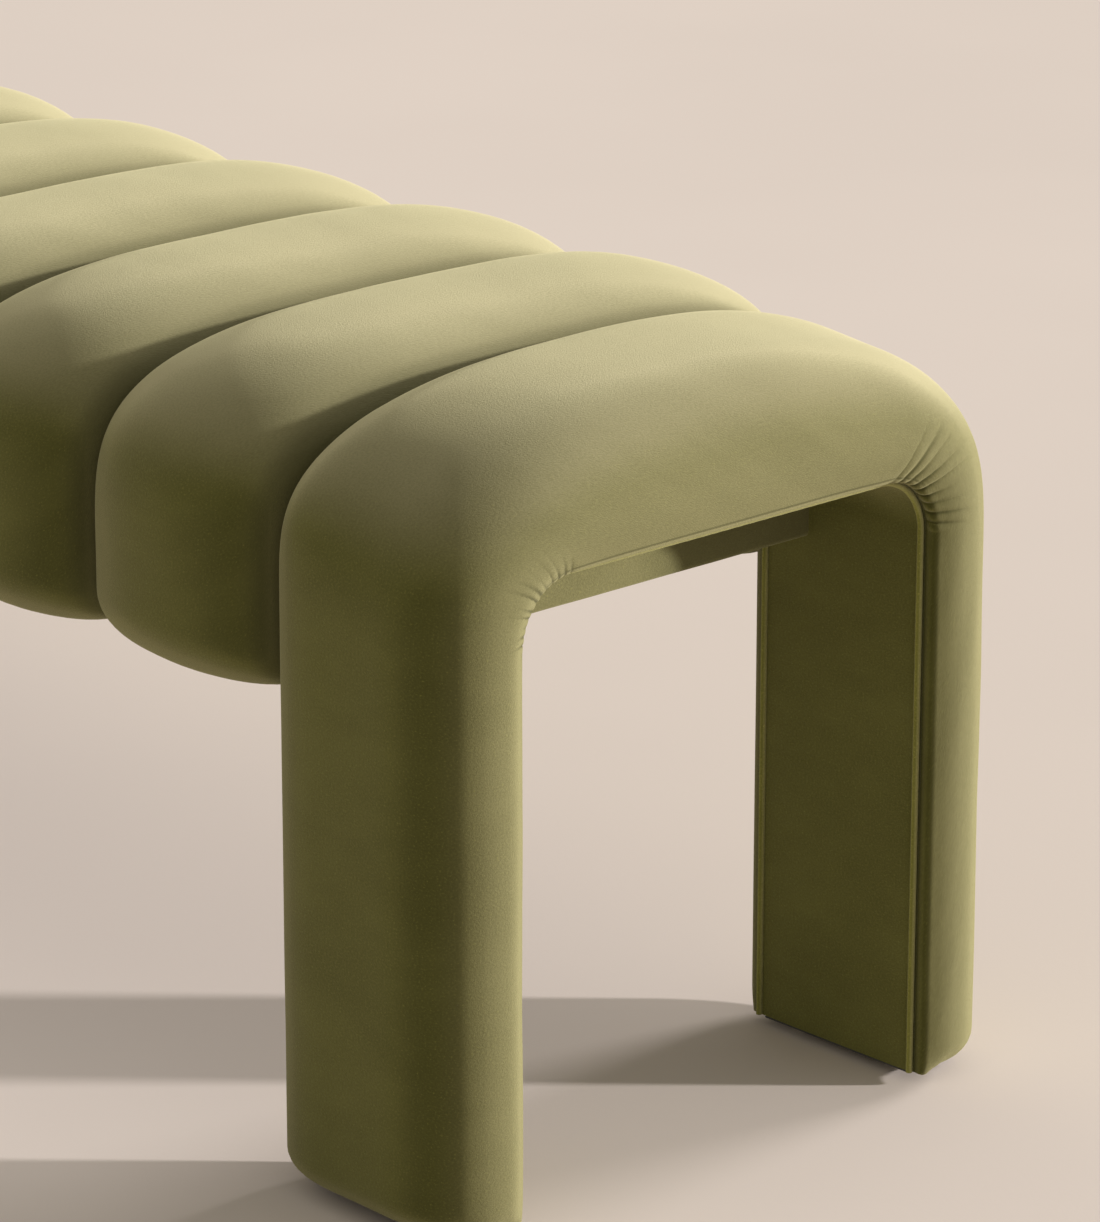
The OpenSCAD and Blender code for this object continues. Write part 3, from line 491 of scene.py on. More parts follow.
def both_halves(half, axis=0):
    """A half path or grid from its low end to the middle, and on through its mirror image in Y."""
    far = half[-2::-1].copy()
    far[..., axis] *= -1
    return np.concatenate([half, far])


def set_at(x, path):
    """Points in space from an X, one for all or for each, and the Y and Z of a path or grid."""
    return np.concatenate([np.broadcast_to(x, path.shape[:-1])[..., None], path], -1)


def at_end(points, end, middle=0.0):
    """Points about a middle plane, moved to the right end of the bench or mirrored to the left."""
    return (points + (middle, 0, 0)) * (ENDS[end], 1, 1)


def outward(grid):
    """Unit normals of a grid of points, on the side where its middle looks up."""
    n = np.cross(np.gradient(grid, axis=0), np.gradient(grid, axis=1))
    n = n / np.maximum(np.linalg.norm(n, axis=2, keepdims=True), 1e-12)
    return -n if n[n.shape[0] // 2, n.shape[1] // 2, 2] < 0 else n


def distances(points, axis=0):
    """Length along a path, or along the lines of a grid, from the first point."""
    steps = np.linalg.norm(np.diff(points, axis=axis), axis=-1)
    start = np.zeros_like(np.take(steps, [0], axis=axis))
    return np.concatenate([start, np.cumsum(steps, axis=axis)], axis=axis)


def swells(grid, size, seed):
    """Slow, even noise from -1 to 1 over a grid."""
    values = [noise.noise(Vector(p) + Vector((seed, seed * 0.7, 0.0)))
              for p in grid.reshape(-1, 3) / size]
    return np.array(values).reshape(grid.shape[:2])


def jitter(n, seed):
    """A steady random number from -1 to 1 for a whole number."""
    return math.sin(n * 12.9898 + seed * 78.233) * 43758.5453 % 2.0 - 1.0


def lofted(rings):
    """Faces of a closed body through rings of points, with a face on each end."""
    last, n = len(rings) - 1, len(rings[0])
    faces = [(a + j, a + (j + 1) % n, a + n + (j + 1) % n, a + n + j)
             for a in range(0, last * n, n) for j in range(n)]
    return faces + [tuple(range(n))[::-1], tuple(range(last * n, (last + 1) * n))]


class Parts:
    """Points, faces and cloth places of a piece that is put together from several bodies."""

    def __init__(self):
        self.points, self.faces, self.naps = [], [], []

    def loft(self, rings, naps=None):
        """Adds a closed body. Its places on the cloth are its places in space if none are given."""
        first = len(self.points)
        self.points += np.reshape(rings, (-1, 3)).tolist()
        self.faces += [tuple(first + k for k in face) for face in lofted(rings)]
        self.naps += np.reshape(rings if naps is None else naps, (-1, 3)).tolist()
        return self

    def piece(self, name, finish, slot, nodes, sharp=50.0):
        """Makes the object, rides it on the bench and hides the CAD nodes that it stands for."""
        mesh = bpy.data.meshes.new(name)
        mesh.from_pydata(self.points, [], self.faces)
        work = bmesh.new()
        work.from_mesh(mesh)
        bmesh.ops.recalc_face_normals(work, faces=work.faces)
        for f in work.faces:
            f.smooth = True
        for e in work.edges:
            if len(e.link_faces) == 2 and e.calc_face_angle(0.0) > math.radians(sharp):
                e.smooth = False
        work.to_mesh(mesh)
        work.free()
        layer = mesh.attributes.new("nap", "FLOAT_VECTOR", "POINT")
        layer.data.foreach_set("vector", np.array(self.naps, np.float32).ravel())
        mesh.materials.append(finish_named(finish))
        made = bpy.data.objects.new(name, mesh)
        bpy.context.collection.objects.link(made)
        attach(made, "root")
        if nodes:
            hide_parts(*nodes)
        return made


def marked(made, name, amounts):
    """Writes an amount, such as how much shade is painted there, at each point of a lofted piece.
    """
    layer = made.data.attributes.new(name, "FLOAT", "POINT")
    layer.data.foreach_set("value", np.asarray(amounts, np.float32).ravel())


FINISHES = {
    **dict.fromkeys(VELVET_PAINTED_TONES, velvet_finish),
    "black cambric": cambric_finish,
    "planed beech": hardwood_finish,
    "birch plywood": plywood_finish,
    "zinc plated steel": steel_finish,
    "moulded nylon": nylon_finish,
    "studio floor": floor_finish,
}


def finish_named(name):
    """The material with this name, made on first use."""
    made = bpy.data.materials.get(name)
    if made is None:
        made = FINISHES[name](bpy.context.scene.bench_colours, name)
    return made


def channel_outline(seat, drop):
    """Front half of a channel's outer profile in YZ, from the hem up to the middle of the top."""
    half = seat.depth / 2
    t = np.radians(np.linspace(90, 0, 260))
    reach, rise = half - drop, seat.height - drop - seat.shoulder
    crown = np.stack([-reach * np.cos(t).clip(0) ** (2 / seat.side_power),
                      seat.shoulder + rise * np.sin(t).clip(0) ** (2 / seat.top_power)], 1)
    edge_y, edge_z = half - seat.round_depth, seat.underside + seat.round_height
    ry = seat.round_depth - drop
    rz = seat.round_height - drop * seat.seam_rise / seat.seam_drop
    t = np.radians(np.linspace(0, 90, 60))
    lower = np.stack([-edge_y - ry * np.cos(t), edge_z - rz * np.sin(t)], 1)
    ty, tz = edge_y - seat.hem_inside, seat.hem_height - edge_z + rz
    hem = np.stack([-edge_y + ty * np.sin(t), seat.hem_height - tz * np.cos(t)], 1)
    return np.concatenate([crown, lower, hem[1:]])[::-1]


def deck_outline(seat):
    """Front half of the frame under a channel, from the hem to the middle of the deck."""
    inside, low, top = seat.hem_inside + HEM_ROOM, seat.hem_height, seat.deck_top
    face, bevel = seat.apron_face, seat.deck_bevel
    return np.array([(-inside, low), (-face, low), (-face, top - bevel), (-face + bevel, top),
                     (0.0, top)])


def seat_channel(seat, nth):
    """One padded channel, crowned between its seams and hemmed under the rails."""
    middle = (nth - (CHANNELS + 1) / 2) * (seat.channel_width + CHANNEL_GAP)
    turn = np.radians(np.linspace(-90, 90, seat.strips + 1))
    places = np.sign(turn) * np.abs(np.sin(turn)) ** (2 / seat.crown_power)
    drops = seat.seam_drop * (1 - np.abs(np.cos(turn)).clip(1e-9) ** (2 / seat.crown_power))
    shares = np.linspace(0, 1, seat.steps // 2 + 1)
    outer = np.stack([set_at(middle + place * seat.channel_width / 2,
                             both_halves(evenly(channel_outline(seat, drop), shares)))
                      for place, drop in zip(places, drops)])
    calm = ((1 - places ** 2).clip(0) ** 0.6)[:, None]
    uneven = swells(outer, 0.075, nth * 3.1) + 0.4 * swells(outer, 0.03, nth * 5.7)
    outer = outer + outward(outer) * (uneven * calm * seat.unevenness)[..., None]
    along, across = distances(outer, 1), distances(outer, 0)
    naps = np.stack([along, across + nth, np.full_like(along, nth * 0.37)], 2)
    inner = both_halves(deck_outline(seat))[::-1]
    back = set_at(outer[:, :1, 0], np.broadcast_to(inner, (len(outer), *inner.shape)))
    rings = np.concatenate([outer, back], 1)
    made = Parts().loft(rings, np.concatenate([naps, back], 1)).piece(
        f"seat_channel_{nth}", "olive velvet", "velvet",
        [f"channel_cover_{nth}", f"channel_foam_{nth}"])
    # Painted shade along the valleys on both sides of the channel
    valley = smooth((np.abs(places) - VALLEY_START) / VALLEY_FADE)[:, None]
    marked(made, "painted_shade", seat.valley_shade * valley + np.zeros(rings.shape[:2]))


def arch_heights(arch):
    """Heights of the rings on a leg, close together where the foot is tucked in."""
    foot = arch.foot + arch.tuck * (1 - np.cos(np.radians(np.linspace(0, 90, 9))))
    leg = np.linspace(foot[-1], arch.opening_height - arch.opening_radius, 44)
    return np.concatenate([foot, leg[1:]])


def opening_half(arch, out=0.0):
    """Half of the opening's edge in YZ, from the foot to the middle of the top."""
    half, radius = arch.opening_width / 2, arch.opening_radius
    corner_y, corner_z = half - radius, arch.opening_height - radius
    z = arch_heights(arch)
    leg = np.stack([np.full_like(z, -half - out), z], 1)
    t = np.radians(np.linspace(0, 90, CORNER_RINGS + 1))[1:]
    corner = np.stack([-corner_y - (radius + out) * np.cos(t),
                       corner_z + (radius + out) * np.sin(t)], 1)
    y = np.linspace(-corner_y, 0, TOP_RINGS + 1)[1:]
    top = np.stack([y, np.full_like(y, arch.opening_height + out)], 1)
    return np.concatenate([leg, corner, top])


def crown_half(arch, w):
    """Half of the arch's outer edge in YZ. w is 0 at the bench's end and 1 beside the seat."""
    top = arch.end_height + (arch.seat_height - arch.end_height) * w
    shoulder = arch.end_shoulder + (arch.seat_shoulder - arch.end_shoulder) * w
    side, crown = (a + (b - a) * w for a, b in zip(END_POWERS, SEAT_POWERS))
    half, rise = arch.depth / 2, top - shoulder
    corner_z = arch.opening_height - arch.opening_radius

    def at_height(z):
        share = np.maximum(0, (z - shoulder) / rise)
        return np.stack([-half * (1 - share ** crown) ** (1 / side), z], 1)

    def at_depth(y):
        share = np.abs(y) / half
        return np.stack([-np.abs(y), shoulder + rise * (1 - share ** side) ** (1 / crown)], 1)

    t = np.radians(np.linspace(0, 80, 700))
    oval = np.stack([-half * np.cos(t) ** (2 / side),
                     shoulder + rise * np.sin(t) ** (2 / crown)], 1)
    keep = (oval[:, 1] > corner_z) & (oval[:, 0] < -arch.corner_depth)
    start, end = at_height(np.array([corner_z])), at_depth(np.array([arch.corner_depth]))
    corner = evenly(np.concatenate([start, oval[keep], end]),
                    np.linspace(0, 1, CORNER_RINGS + 1))[1:]
    y = np.linspace(arch.corner_depth, 0, TOP_RINGS + 1)[1:]
    return np.concatenate([at_height(arch_heights(arch)), corner, at_depth(y)])


def arch_section(arch):
    """Cross-section of an arch from the outer seam round to the seat seam: place and share."""
    seam, wide = arch.panel_width / 2, arch.full_width / 2
    flat_half, widest = arch.flat_width / 2, arch.widest
    t = np.radians(np.linspace(0, 90, 120))

    def half(power):
        flare = np.stack([seam + (wide - seam) * np.sin(t), widest * (1 - np.cos(t))], 1)
        rounded = np.stack([flat_half + (wide - flat_half) * np.cos(t).clip(0) ** (2 / power),
                            widest + (1 - widest) * np.sin(t) ** (2 / power)], 1)
        return np.concatenate([flare, rounded[1:]])

    end_side, seat_side = (half(power) for power in SIDE_POWERS)
    seat_side[:, 0] *= -1
    scale = np.array([1.0, (arch.depth - arch.opening_width) / 2])
    fine, coarse = np.linspace(0, 0.16, 25), np.linspace(0.16, 1, 46)[1:]
    return evenly(np.concatenate([end_side, seat_side[::-1]]) * scale,
                  np.concatenate([fine, coarse])) / scale


def gathers(arch, sewing, seam_run, reach, corner, seed):
    """Height of the gathered cloth and the shade painted in its creases, by place along the seam
    and distance from it.
    """
    lean, stand, roundness, darkness = GATHERS[corner]
    size, pitch, taper = sewing.short_gather, sewing.short_pitch, 1.0
    if corner == "back":
        size, pitch = sewing.long_gather, sewing.long_pitch
        taper = 0.5 + 0.5 * smooth(seam_run / 0.026)
    arc = math.pi / 2 * arch.opening_radius
    phase = seam_run / pitch + lean * (reach / size) ** 1.4
    fold, nearest, vary = np.floor(phase), np.round(phase), np.vectorize(jitter)
    length_at = size * taper * (1 + 0.45 * vary(fold, seed + 1.7))
    height_at = sewing.gather_height * (1.0 + 0.35 * vary(fold, seed)) * stand
    ridge = np.abs(np.sin(math.pi * (phase - fold))) ** roundness
    window = smooth((seam_run + 0.010) / 0.014) * smooth((arc + 0.010 - seam_run) / 0.016)
    fade = np.exp(-(reach / length_at) ** 1.7) * (0.35 + 0.65 * smooth(reach / 0.006))
    beside = phase - nearest - 0.12 * vary(nearest, seed + 5)
    # Painted shade in the creases between the gathers
    painted_shade = np.exp(-(beside / sewing.crease_shade_width * pitch) ** 2) * window
    painted_shade = painted_shade * np.exp(-(reach / length_at) ** 3) * smooth(reach / 0.0025) * darkness
    return (ridge - 0.62) * height_at * window * fade, painted_shade


def arch_pad(arch, sewing, end):
    """One upholstered arch: both legs and the crown in one padded form."""
    inner = opening_half(arch)
    rise = ((inner[:, 1] - arch.foot) / arch.tuck).clip(0, 1)
    tuck = arch.tuck * (1 - np.sqrt(1 - (1 - rise) ** 2))
    thick = (arch.depth - arch.opening_width) / 2
    half = []
    for x, share in arch_section(arch):
        w = float(smooth((arch.panel_width / 2 - x) / arch.panel_width))
        drawn = share * (1 - tuck / thick)
        half.append(set_at(x * (1 - tuck * min(1.0, share / arch.widest) / (arch.full_width / 2)),
                           inner + (crown_half(arch, w) - inner) * drawn[:, None]))
    grid = both_halves(np.stack(half, 1), 1)

    seam = both_halves(inner)
    run, reach = distances(seam)[:, None], distances(grid, 1)
    leg_run = run[len(arch_heights(arch)) - 1]
    seed = ENDS[end] * 2.3
    front, front_gather_shade = gathers(arch, sewing, run - leg_run + 0 * reach, reach, "front", seed)
    back, back_gather_shade = gathers(arch, sewing, run[-1] - leg_run - run + 0 * reach, reach, "back",
                                seed + 4)
    pucker = (sewing.seam_pucker * swells(grid * (0.3, 1, 1), 0.009, seed)
              * np.exp(-reach / 0.008))
    uneven = (swells(grid, 0.09, seed + 9) + 0.35 * swells(grid, 0.035, seed + 6)) * arch.unevenness
    near_seam = smooth(reach / 0.01) * smooth((reach[:, -1:] - reach) / 0.01)
    lip = sewing.lip * (np.exp(-((reach - 0.0075) / 0.003) ** 2)
                        - 1.6 * np.exp(-(reach / 0.0028) ** 2))
    raised = (front + back + pucker) * smooth(reach / 0.0015 + 0.3) + uneven * near_seam + lip
    beside_seat = smooth((grid[..., 0] + arch.full_width / 2) / 0.022)
    grid = grid + outward(grid) * (raised * beside_seat)[..., None]

    frame_side = arch_frame_side(arch, seam, grid)
    naps = np.stack([distances(grid, 0), reach + ARCH_NAP, np.full_like(reach, seed)], 2)
    rings = at_end(np.concatenate([grid, frame_side], 1), end, arch.middle)
    made = Parts().loft(rings, np.concatenate([naps, frame_side], 1)).piece(
        f"arch_pad_{end}", "olive velvet", "velvet",
        [f"arch_cover_{end}", f"arch_foam_{end}"], 60.0)
    # Painted shade: a dark line beside the outer seam and in the creases between the gathers. The
    # crown's lower edge is marked for its painted shade line and painted highlight strip.
    seam_shade = 0.85 * np.exp(-(reach / sewing.seam_shade) ** 2)
    overhead = smooth((seam[:, 1:] - arch.opening_height + 0.012) / 0.012) + 0 * reach
    unseen = ((0, 0), (0, frame_side.shape[1]))
    marked(made, "painted_shade", np.pad(np.maximum(seam_shade, front_gather_shade + back_gather_shade), unseen))
    marked(made, "crown_edge", np.pad(overhead, unseen))


def arch_frame_side(arch, seam, grid):
    """The four corners of the pad where it lies on the frame, for each ring."""
    ways = grid[:, grid.shape[1] // 2, 1:] - seam
    depth, height = np.abs(seam[:, 0]), seam[:, 1]
    out_speed, up_speed = np.abs(ways[:, 0]), ways[:, 1]
    bevel_sum = arch.post_face + arch.rail_top - arch.rail_bevel

    def share(room, speed):
        return np.where(speed > 1e-6, room / np.maximum(speed, 1e-6), np.inf)

    shares = np.minimum.reduce([share(arch.post_face - depth, out_speed),
                                share(arch.rail_top - height, up_speed),
                                share(bevel_sum - depth - height, out_speed + up_speed)])
    face = seam + ways * np.clip(shares, 0.05, 0.9)[:, None]
    x = arch.frame_half
    return np.stack([set_at(-x, seam), set_at(-x, face), set_at(x, face), set_at(x, seam)], 1)


def lining_band(arch, sewing, end):
    """Flat velvet on the inside of an arch, a little crowned and creased in its corners."""
    half_width = (lining_box[1].x - lining_box[0].x) / 2
    seam, back = (both_halves(opening_half(arch, out)) for out in (0.0, sewing.velvet))
    inward = seam - back
    inward = (inward / np.linalg.norm(inward, axis=1, keepdims=True))[:, None]
    x = half_width * np.sin(np.radians(np.linspace(-90, 90, 27)))[None]
    crown = sewing.lining_crown * (1 - (x / half_width) ** 4)
    run, arc = distances(seam)[:, None], math.pi / 2 * arch.opening_radius
    leg_run = run[len(arch_heights(arch)) - 1]
    lift = crown + 0 * run
    for start in (leg_run, run[-1] - leg_run - arc):
        local = run - start
        window = smooth((local + 0.012) / 0.02) * smooth((arc + 0.012 - local) / 0.02)
        wave = np.sin(local / 0.0052 + 2.2 * np.sin(x / 0.021 + start))
        lift = lift + LINING_WAVE * window * wave * (1 - (x / half_width) ** 2)
    face = set_at(x, seam[:, None] + inward * lift[..., None])
    face[..., 1:] += inward * (swells(face, 0.06, 3.3) * FAINT_SWELL * (crown > 1e-4))[..., None]
    behind = set_at((half_width, -half_width), np.repeat(back[:, None], 2, 1))
    naps = np.stack([run + 0 * x, x + 7 + 0 * run, np.full(lift.shape, 0.2)], 2)
    rings = at_end(np.concatenate([face, behind], 1), end, arch.middle)
    made = Parts().loft(rings, np.concatenate([naps, behind], 1)).piece(
        f"lining_band_{end}", "olive velvet lining", "lining_velvet", [f"lining_cover_{end}"])


def tube(path, radii, x, sides=12):
    """Rings of a round tube along a path in YZ, with its radius at each point."""
    step = np.gradient(path, axis=0)
    step /= np.linalg.norm(step, axis=1, keepdims=True)
    normal = np.stack([step[:, 1], -step[:, 0]], 1)
    t = np.linspace(0, 2 * math.pi, sides, endpoint=False)
    return set_at(x + radii[:, None] * np.cos(t),
                  path[:, None] + normal[:, None] * (radii[:, None] * np.sin(t))[..., None])


def seam_piping(arch, sewing, end):
    """The two piped seams of an arch's lining, finely wrinkled."""
    radius = sewing.piping / 2
    path = both_halves(opening_half(arch, radius - sewing.piping_proud))
    shares = np.linspace(0, 1, PIPING_RINGS)
    run = shares * distances(path)[-1]
    wrinkle = np.sin(run / 0.0016 + 1.4 * np.sin(run / 0.013)) * 0.5 + 0.5
    parts = Parts()
    for m in (-1, 1):
        uneven = np.array([noise.noise(Vector((s / 0.02, m * 3.0, ENDS[end]))) for s in run])
        radii = radius * (0.985 - 0.04 * wrinkle + 0.02 * uneven)
        rings = tube(evenly(path, shares), radii, m * sewing.piping_place)
        around = np.arange(rings.shape[1]) * radius * 0.5 + 0 * run[:, None]
        naps = np.stack([run[:, None] + 0 * around, around + 11 * m, 0 * around], 2)
        parts.loft(at_end(rings, end, arch.middle), naps)
    # The piping's velvet is painted much paler than the rest: a painted highlight along the seams
    parts.piece(f"seam_piping_{end}", "olive velvet piping", "piping_velvet", [f"piping_{end}"])


def fascia_panel(sewing, end):
    """Velvet over the end rail inside an arch, rolled under at its lower edge."""
    low, high = fascia_box
    # The face looks out of the bench's end, so it lies at the larger X of the right arch.
    front, back, roll, skin = high.x, low.x, sewing.hem_roll, sewing.velvet
    t = np.radians(np.linspace(0, 90, 12))
    face = np.stack([np.full(16, front), np.linspace(high.z, low.z + roll, 16)], 1)
    bend = np.stack([front - roll + roll * np.cos(t), low.z + roll - roll * np.sin(t)], 1)[1:]
    under = np.stack([np.linspace(front - roll, back, 8), np.full(8, low.z)], 1)[1:]
    outer = np.concatenate([face, bend, under])
    inner = np.array([(back, low.z + skin), (front - skin, low.z + skin), (front - skin, high.z)])
    ys = np.linspace(low.y, high.y, 120)
    rise = (outer[:, 1] - low.z) / (high.z - low.z)
    swell = FASCIA_SWELL * np.sin(math.pi * rise.clip(0, 1)) ** 0.5
    rings = []
    for y in ys:
        edge = smooth((high.y - abs(y)) / 0.008)
        ripple = np.array([noise.noise(Vector((y / 0.03, z / 0.02, 2.0))) for z in outer[:, 1]])
        x, z = np.concatenate([outer, inner]).T
        x[:len(outer)] += swell * edge + FAINT_SWELL * ripple * edge
        rings.append(np.stack([x, np.full_like(x, y), z], 1))
    rings = np.array(rings)
    made = Parts().loft(at_end(rings, end), rings[..., ::-1] + (0.0, 5.0, 0.0)).piece(
        f"fascia_panel_{end}", "olive velvet lining", "lining_velvet", [f"fascia_cover_{end}"])
    # Painted shade: the fascia is painted darker toward the back of the bench
    painted_back_shade = 0.6 * smooth((ys - 0.01) / 0.05)[:, None]
    marked(made, "painted_shade", painted_back_shade + np.zeros(rings.shape[:2]))


def cloth_sheet(parts, low, high, steps, lift):
    """A thin cloth. lift gives each place its height above the flat cloth."""
    x, y = np.meshgrid(np.linspace(low.x, high.x, steps[0]), np.linspace(low.y, high.y, steps[1]),
                       indexing="ij")
    below = low.z + lift(x, y)
    above = np.minimum(below + (high.z - low.z) * 0.8, high.z)
    parts.loft(np.concatenate([np.stack([x, y, below], 2), np.stack([x, y, above], 2)[:, ::-1]], 1))


def staple(parts, x, y, z, turn, sewing):
    """One staple pressed into the cloth: a round wire with its two bent ends."""
    half, wire = sewing.staple_width / 2, sewing.staple_wire / 2
    bend = wire * 1.6
    left = [(-half, bend)] + [(-half + bend - bend * math.cos(a), bend - bend * math.sin(a))
                              for a in np.linspace(0, math.pi / 2, 5)[1:]]
    path = left + [(-px, pz) for px, pz in left[::-1]]
    c, s = math.cos(turn), math.sin(turn)
    rings = []
    for k, (px, pz) in enumerate(path):
        before, after = path[max(0, k - 1)], path[min(len(path) - 1, k + 1)]
        dx, dz = after[0] - before[0], after[1] - before[1]
        size = math.hypot(dx, dz)
        ring = []
        for a in np.linspace(0, 2 * math.pi, 8, endpoint=False):
            lx, ly = px - wire * math.cos(a) * dz / size, wire * math.sin(a)
            lz = pz + wire * math.cos(a) * dx / size
            ring.append((x + lx * c - ly * s, y + lx * s + ly * c, z + lz))
        rings.append(ring)
    parts.loft(rings)


def turned(profile, x, y, parts, sides=40):
    """A body turned about an upright axis from a profile of radius and height."""
    t = np.linspace(0, 2 * math.pi, sides, endpoint=False)
    parts.loft([[(x + r * math.cos(a), y + r * math.sin(a), z) for a in t] for r, z in profile])


class BENCH_OT_stage(bpy.types.Operator):
    """Make the camera, the studio lights and the pale floor"""

    bl_idname = "bench.stage"
    bl_label = "Stage"

    def lamp(self, name, turn, rise, spread, strength, shade):
        """A far lamp that stands at a turn and a rise about the bench."""
        light = bpy.data.lights.new(name, "SUN")
        light.angle, light.energy, light.color = spread, strength, shade
        lamp = bpy.data.objects.new(name, light)
        bpy.context.scene.collection.objects.link(lamp)
        flat = math.cos(rise)
        way = Vector((math.cos(turn) * flat, math.sin(turn) * flat, math.sin(rise)))
        lamp.location = way * 4
        lamp.rotation_mode = "QUATERNION"
        lamp.rotation_quaternion = way.to_track_quat("Z", "Y")

    def execute(self, context):
        scene, stage = context.scene, context.scene.bench_stage
        colours = scene.bench_colours
        camera = bpy.data.cameras.new("bench_camera")
        camera.lens, camera.sensor_width = stage.lens, 36.0
        camera.clip_start, camera.clip_end = 0.05, 60.0
        seen = bpy.data.objects.new("bench_camera", camera)
        scene.collection.objects.link(seen)
        turn = (Matrix.Rotation(stage.azimuth, 4, "Z")
                @ Matrix.Rotation(math.pi / 2 - stage.elevation, 4, "X")
                @ Matrix.Rotation(stage.roll, 4, "Z"))
        seen.matrix_world = Matrix.Translation(Vector(stage.place)) @ turn
        scene.camera = seen

        self.lamp("key_light", stage.key_turn, stage.key_rise, stage.key_spread,
                  stage.key_strength, stage.key_colour)
        self.lamp("soft_light", stage.soft_turn, stage.soft_rise, stage.soft_spread,
                  stage.soft_strength, stage.key_colour)
        world = bpy.data.worlds.new("studio surround")
        world.use_nodes = True
        light = world.node_tree.nodes["Background"]
        light.inputs["Color"].default_value = (*colours.backdrop, 1.0)
        light.inputs["Strength"].default_value = stage.surround
        scene.world = world
        scene.view_settings.view_transform = "Standard"

        work = bmesh.new()
        bmesh.ops.create_grid(work, x_segments=24, y_segments=24, size=14.0)
        mesh = bpy.data.meshes.new("studio_floor")
        work.to_mesh(mesh)
        work.free()
        mesh.materials.append(finish_named("studio floor"))
        floor = bpy.data.objects.new("studio_floor", mesh)
        scene.collection.objects.link(floor)
        return {"FINISHED"}


class BENCH_OT_seat_channels(bpy.types.Operator):
    """Make the padded velvet channels of the seat"""

    bl_idname = "bench.seat_channels"
    bl_label = "Seat channels"

    def execute(self, context):
        for nth in range(1, CHANNELS + 1):
            seat_channel(context.scene.bench_seat, nth)
        return {"FINISHED"}


class BENCH_OT_arch_pads(bpy.types.Operator):
    """Make the two upholstered arches with their gathered corners"""

    bl_idname = "bench.arch_pads"
    bl_label = "Arch pads"

    def execute(self, context):
        for end in ENDS:
            arch_pad(context.scene.bench_arch, context.scene.bench_sewing, end)
        return {"FINISHED"}


class BENCH_OT_linings(bpy.types.Operator):
    """Make the linings, the piped seams and the fascias inside the arches"""

    bl_idname = "bench.linings"
    bl_label = "Linings, piping and fascias"

    def execute(self, context):
        arch, sewing = context.scene.bench_arch, context.scene.bench_sewing
        for end in ENDS:
            lining_band(arch, sewing, end)
            seam_piping(arch, sewing, end)
            fascia_panel(sewing, end)
        return {"FINISHED"}


class BENCH_OT_underside(bpy.types.Operator):
    """Make the dust cloth, the leg cloths and their staples"""

    bl_idname = "bench.underside"
    bl_label = "Underside cloths"

    def execute(self, context):
        sewing, arch = context.scene.bench_sewing, context.scene.bench_arch
        low, high = dust_box

        def sagging(x, y):
            middle = smooth((high.y - np.abs(y)) / 0.06) * smooth((high.x - np.abs(x)) / 0.06)
            bay = np.abs(np.sin(x / (high.x / 4) * math.pi)) ** 0.5
            hem = smooth((HEM_WIDTH - (high.y - np.abs(y))) / 0.002)
            return -sewing.cloth_sag * middle * (0.3 + 0.7 * bay) - HEM_DROP * hem

        def crinkled(x, y):
            return 0.00012 * np.sin(x / 0.006) * np.cos(y / 0.005)

        sheet, pins = Parts(), Parts()
        cloth_sheet(sheet, low, high, (170, 60), sagging)
        dust = sheet.piece("dust_cloth", "black cambric", "black_cloth", ["dust_cover"])
        step, inset, z = sewing.staple_pitch, 0.010, low.z - 0.0009
        for m in (-1, 1):
            for k in range(int(2 * high.x / step) - 1):
                staple(pins, low.x + step * (k + 0.75), m * (high.y - inset), z,
                       0.06 * jitter(k, m), sewing)
        for m in (-1, 1):
            for k in range(int(2 * high.y / step)):
                staple(pins, m * (high.x - inset), low.y + step * (k + 0.7), z, math.pi / 2, sewing)
        tacks = pins.piece("dust_cloth_staples", "zinc plated steel", "zinc_steel", [])

        low, high = cloth_box
        inset, spread, z = 0.006, 0.034, low.z - 0.0006
        for end, m in ENDS.items():
            cloths, holds = Parts(), Parts()
            x_low, x_high = sorted((m * low.x, m * high.x))
            for y_low, y_high in ((-high.y, -LEG_CLOTH_INSIDE), (LEG_CLOTH_INSIDE, high.y)):
                cloth_sheet(cloths, Vector((x_low, y_low, low.z)), Vector((x_high, y_high, high.z)),
                            (40, 20), crinkled)
                for k in (-1, 0, 1):
                    for y in (y_low + inset, y_high - inset):
                        staple(holds, m * arch.middle + k * spread, y, z, 0.05 * k, sewing)
            cloth = cloths.piece(f"leg_cloths_{end}", "black cambric", "black_cloth",
                                 [f"base_cloths_{end}"])
            tacks = holds.piece(f"leg_cloth_staples_{end}", "zinc plated steel", "zinc_steel", [])
        return {"FINISHED"}


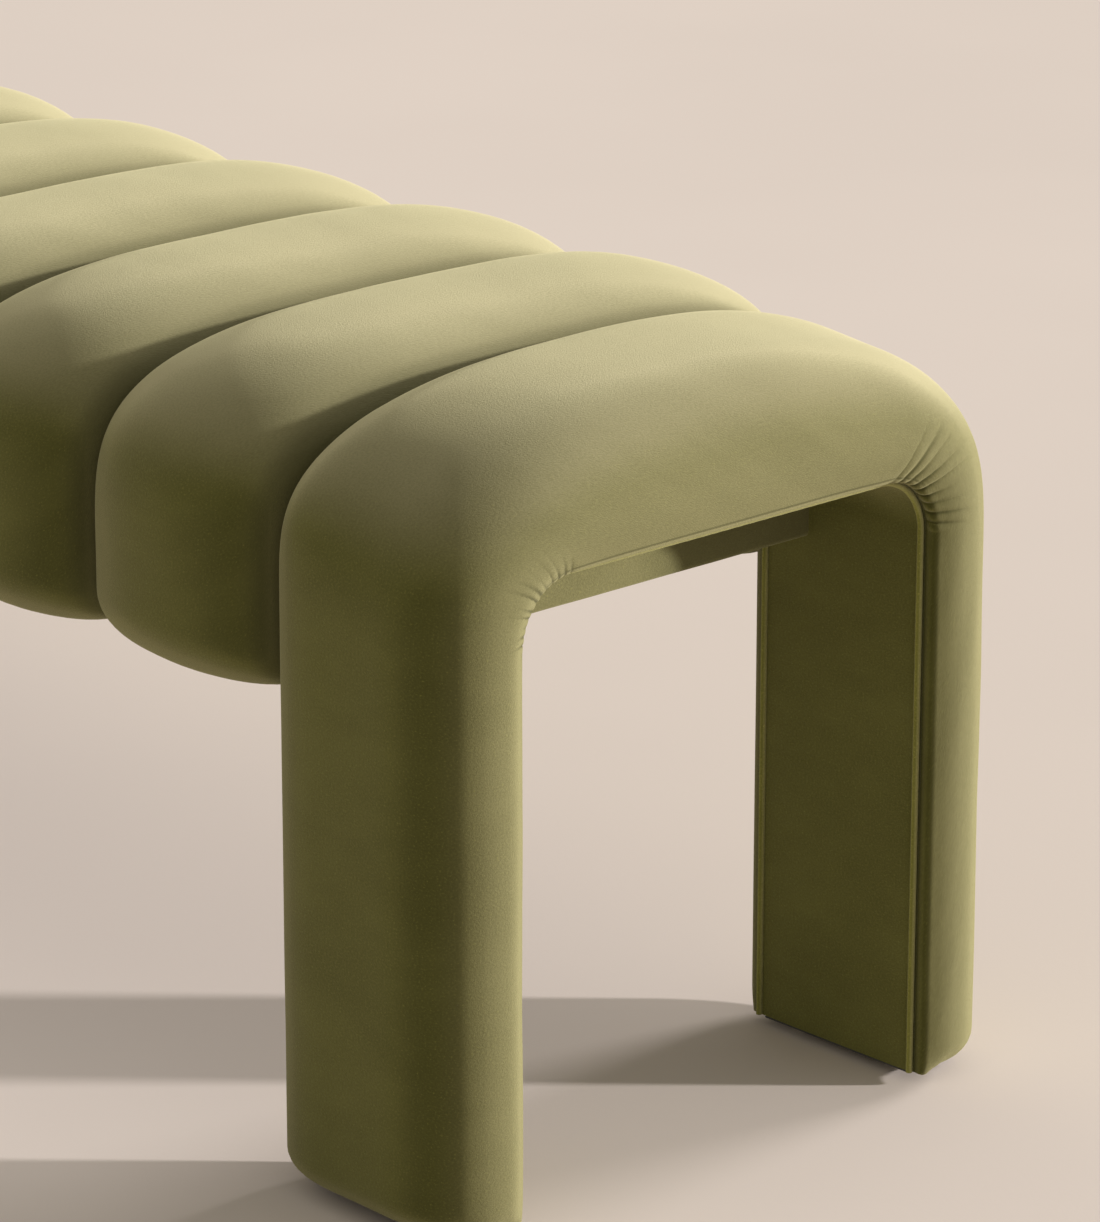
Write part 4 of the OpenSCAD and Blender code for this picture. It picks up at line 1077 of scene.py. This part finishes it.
class BENCH_OT_glides(bpy.types.Operator):
    """Make the nylon glides and the nail heads in them"""

    bl_idname = "bench.glides"
    bl_label = "Glides"

    def execute(self, context):
        sewing, arch = context.scene.bench_sewing, context.scene.bench_arch
        radius, top, head = sewing.glide_radius, 0.005, sewing.nail_radius
        hollow, foot, bend = 0.0009, radius * 0.84, 0.0016
        out, place_y = glide_box[1].x - radius - arch.middle, glide_box[1].y - radius
        disc = [(0.0004, hollow), (head + 0.0003, hollow), (head + 0.0006, 0.0001), (foot, 0.0)]
        disc += [(foot + radius * 0.16 * math.sin(a), bend - bend * math.cos(a))
                 for a in np.radians(np.linspace(0, 90, 7))[1:]]
        disc += [(radius, top - 0.0006), (radius - 0.0006, top), (0.0004, top)]
        nail = [(0.0003, 0.00015), (head * 0.6, 0.00025), (head * 0.92, 0.0005), (head, hollow),
                (0.0003, 0.0011)]
        for end, m in ENDS.items():
            discs, nails = Parts(), Parts()
            for dx in (-out, out):
                for side in (-1, 1):
                    x, y = m * (arch.middle + dx), side * place_y
                    turned(disc, x, y, discs)
                    turned(nail, x, y, nails, 24)
            discs.piece(f"glide_discs_{end}", "moulded nylon", "nylon", [f"glides_{end}"], 40.0)
            nails.piece(f"glide_nails_{end}", "zinc plated steel", "zinc_steel", [])
        return {"FINISHED"}


class BENCH_OT_frame_finishes(bpy.types.Operator):
    """Give the wooden frame, the plywood and the fasteners their finishes"""

    bl_idname = "bench.frame_finishes"
    bl_label = "Frame finishes"

    def execute(self, context):
        for names, finish in ((WOODEN, "planed beech"), (PLYWOOD, "birch plywood"),
                              (STEEL, "zinc plated steel")):
            for name in names:
                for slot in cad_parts[name].material_slots:
                    slot.material = finish_named(finish)
        return {"FINISHED"}


class BENCH_PT_sidebar(bpy.types.Panel):
    """Sizes, colours and steps of the bench"""

    bl_idname = "BENCH_PT_sidebar"
    bl_label = "Bench"
    bl_space_type = "VIEW_3D"
    bl_region_type = "UI"
    bl_category = "Bench"

    def draw(self, context):
        scene, layout = context.scene, self.layout
        for title, group in (("Seat", scene.bench_seat), ("Arches", scene.bench_arch),
                             ("Sewing", scene.bench_sewing), ("Colours", scene.bench_colours),
                             ("Stage", scene.bench_stage)):
            box = layout.box()
            box.label(text=title)
            for key in group.__annotations__:
                box.prop(group, key)
        for step in STEPS:
            layout.operator(step.bl_idname)


GROUPS = {"bench_seat": SeatSizes, "bench_arch": ArchSizes, "bench_sewing": SewingSizes,
          "bench_colours": BenchColours, "bench_stage": StageSettings}
STEPS = (BENCH_OT_stage, BENCH_OT_seat_channels, BENCH_OT_arch_pads, BENCH_OT_linings,
         BENCH_OT_underside, BENCH_OT_glides, BENCH_OT_frame_finishes)


def register():
    for kind in (*GROUPS.values(), *STEPS, BENCH_PT_sidebar):
        bpy.utils.register_class(kind)
    for name, group in GROUPS.items():
        setattr(bpy.types.Scene, name, bpy.props.PointerProperty(type=group))


def unregister():
    for name in GROUPS:
        delattr(bpy.types.Scene, name)
    for kind in (BENCH_PT_sidebar, *reversed(STEPS), *reversed(GROUPS.values())):
        bpy.utils.unregister_class(kind)


def main():
    register()
    bpy.ops.bench.stage()
    bpy.ops.bench.seat_channels()
    bpy.ops.bench.arch_pads()
    bpy.ops.bench.linings()
    bpy.ops.bench.underside()
    bpy.ops.bench.glides()
    bpy.ops.bench.frame_finishes()


if __name__ == "__main__":
    main()
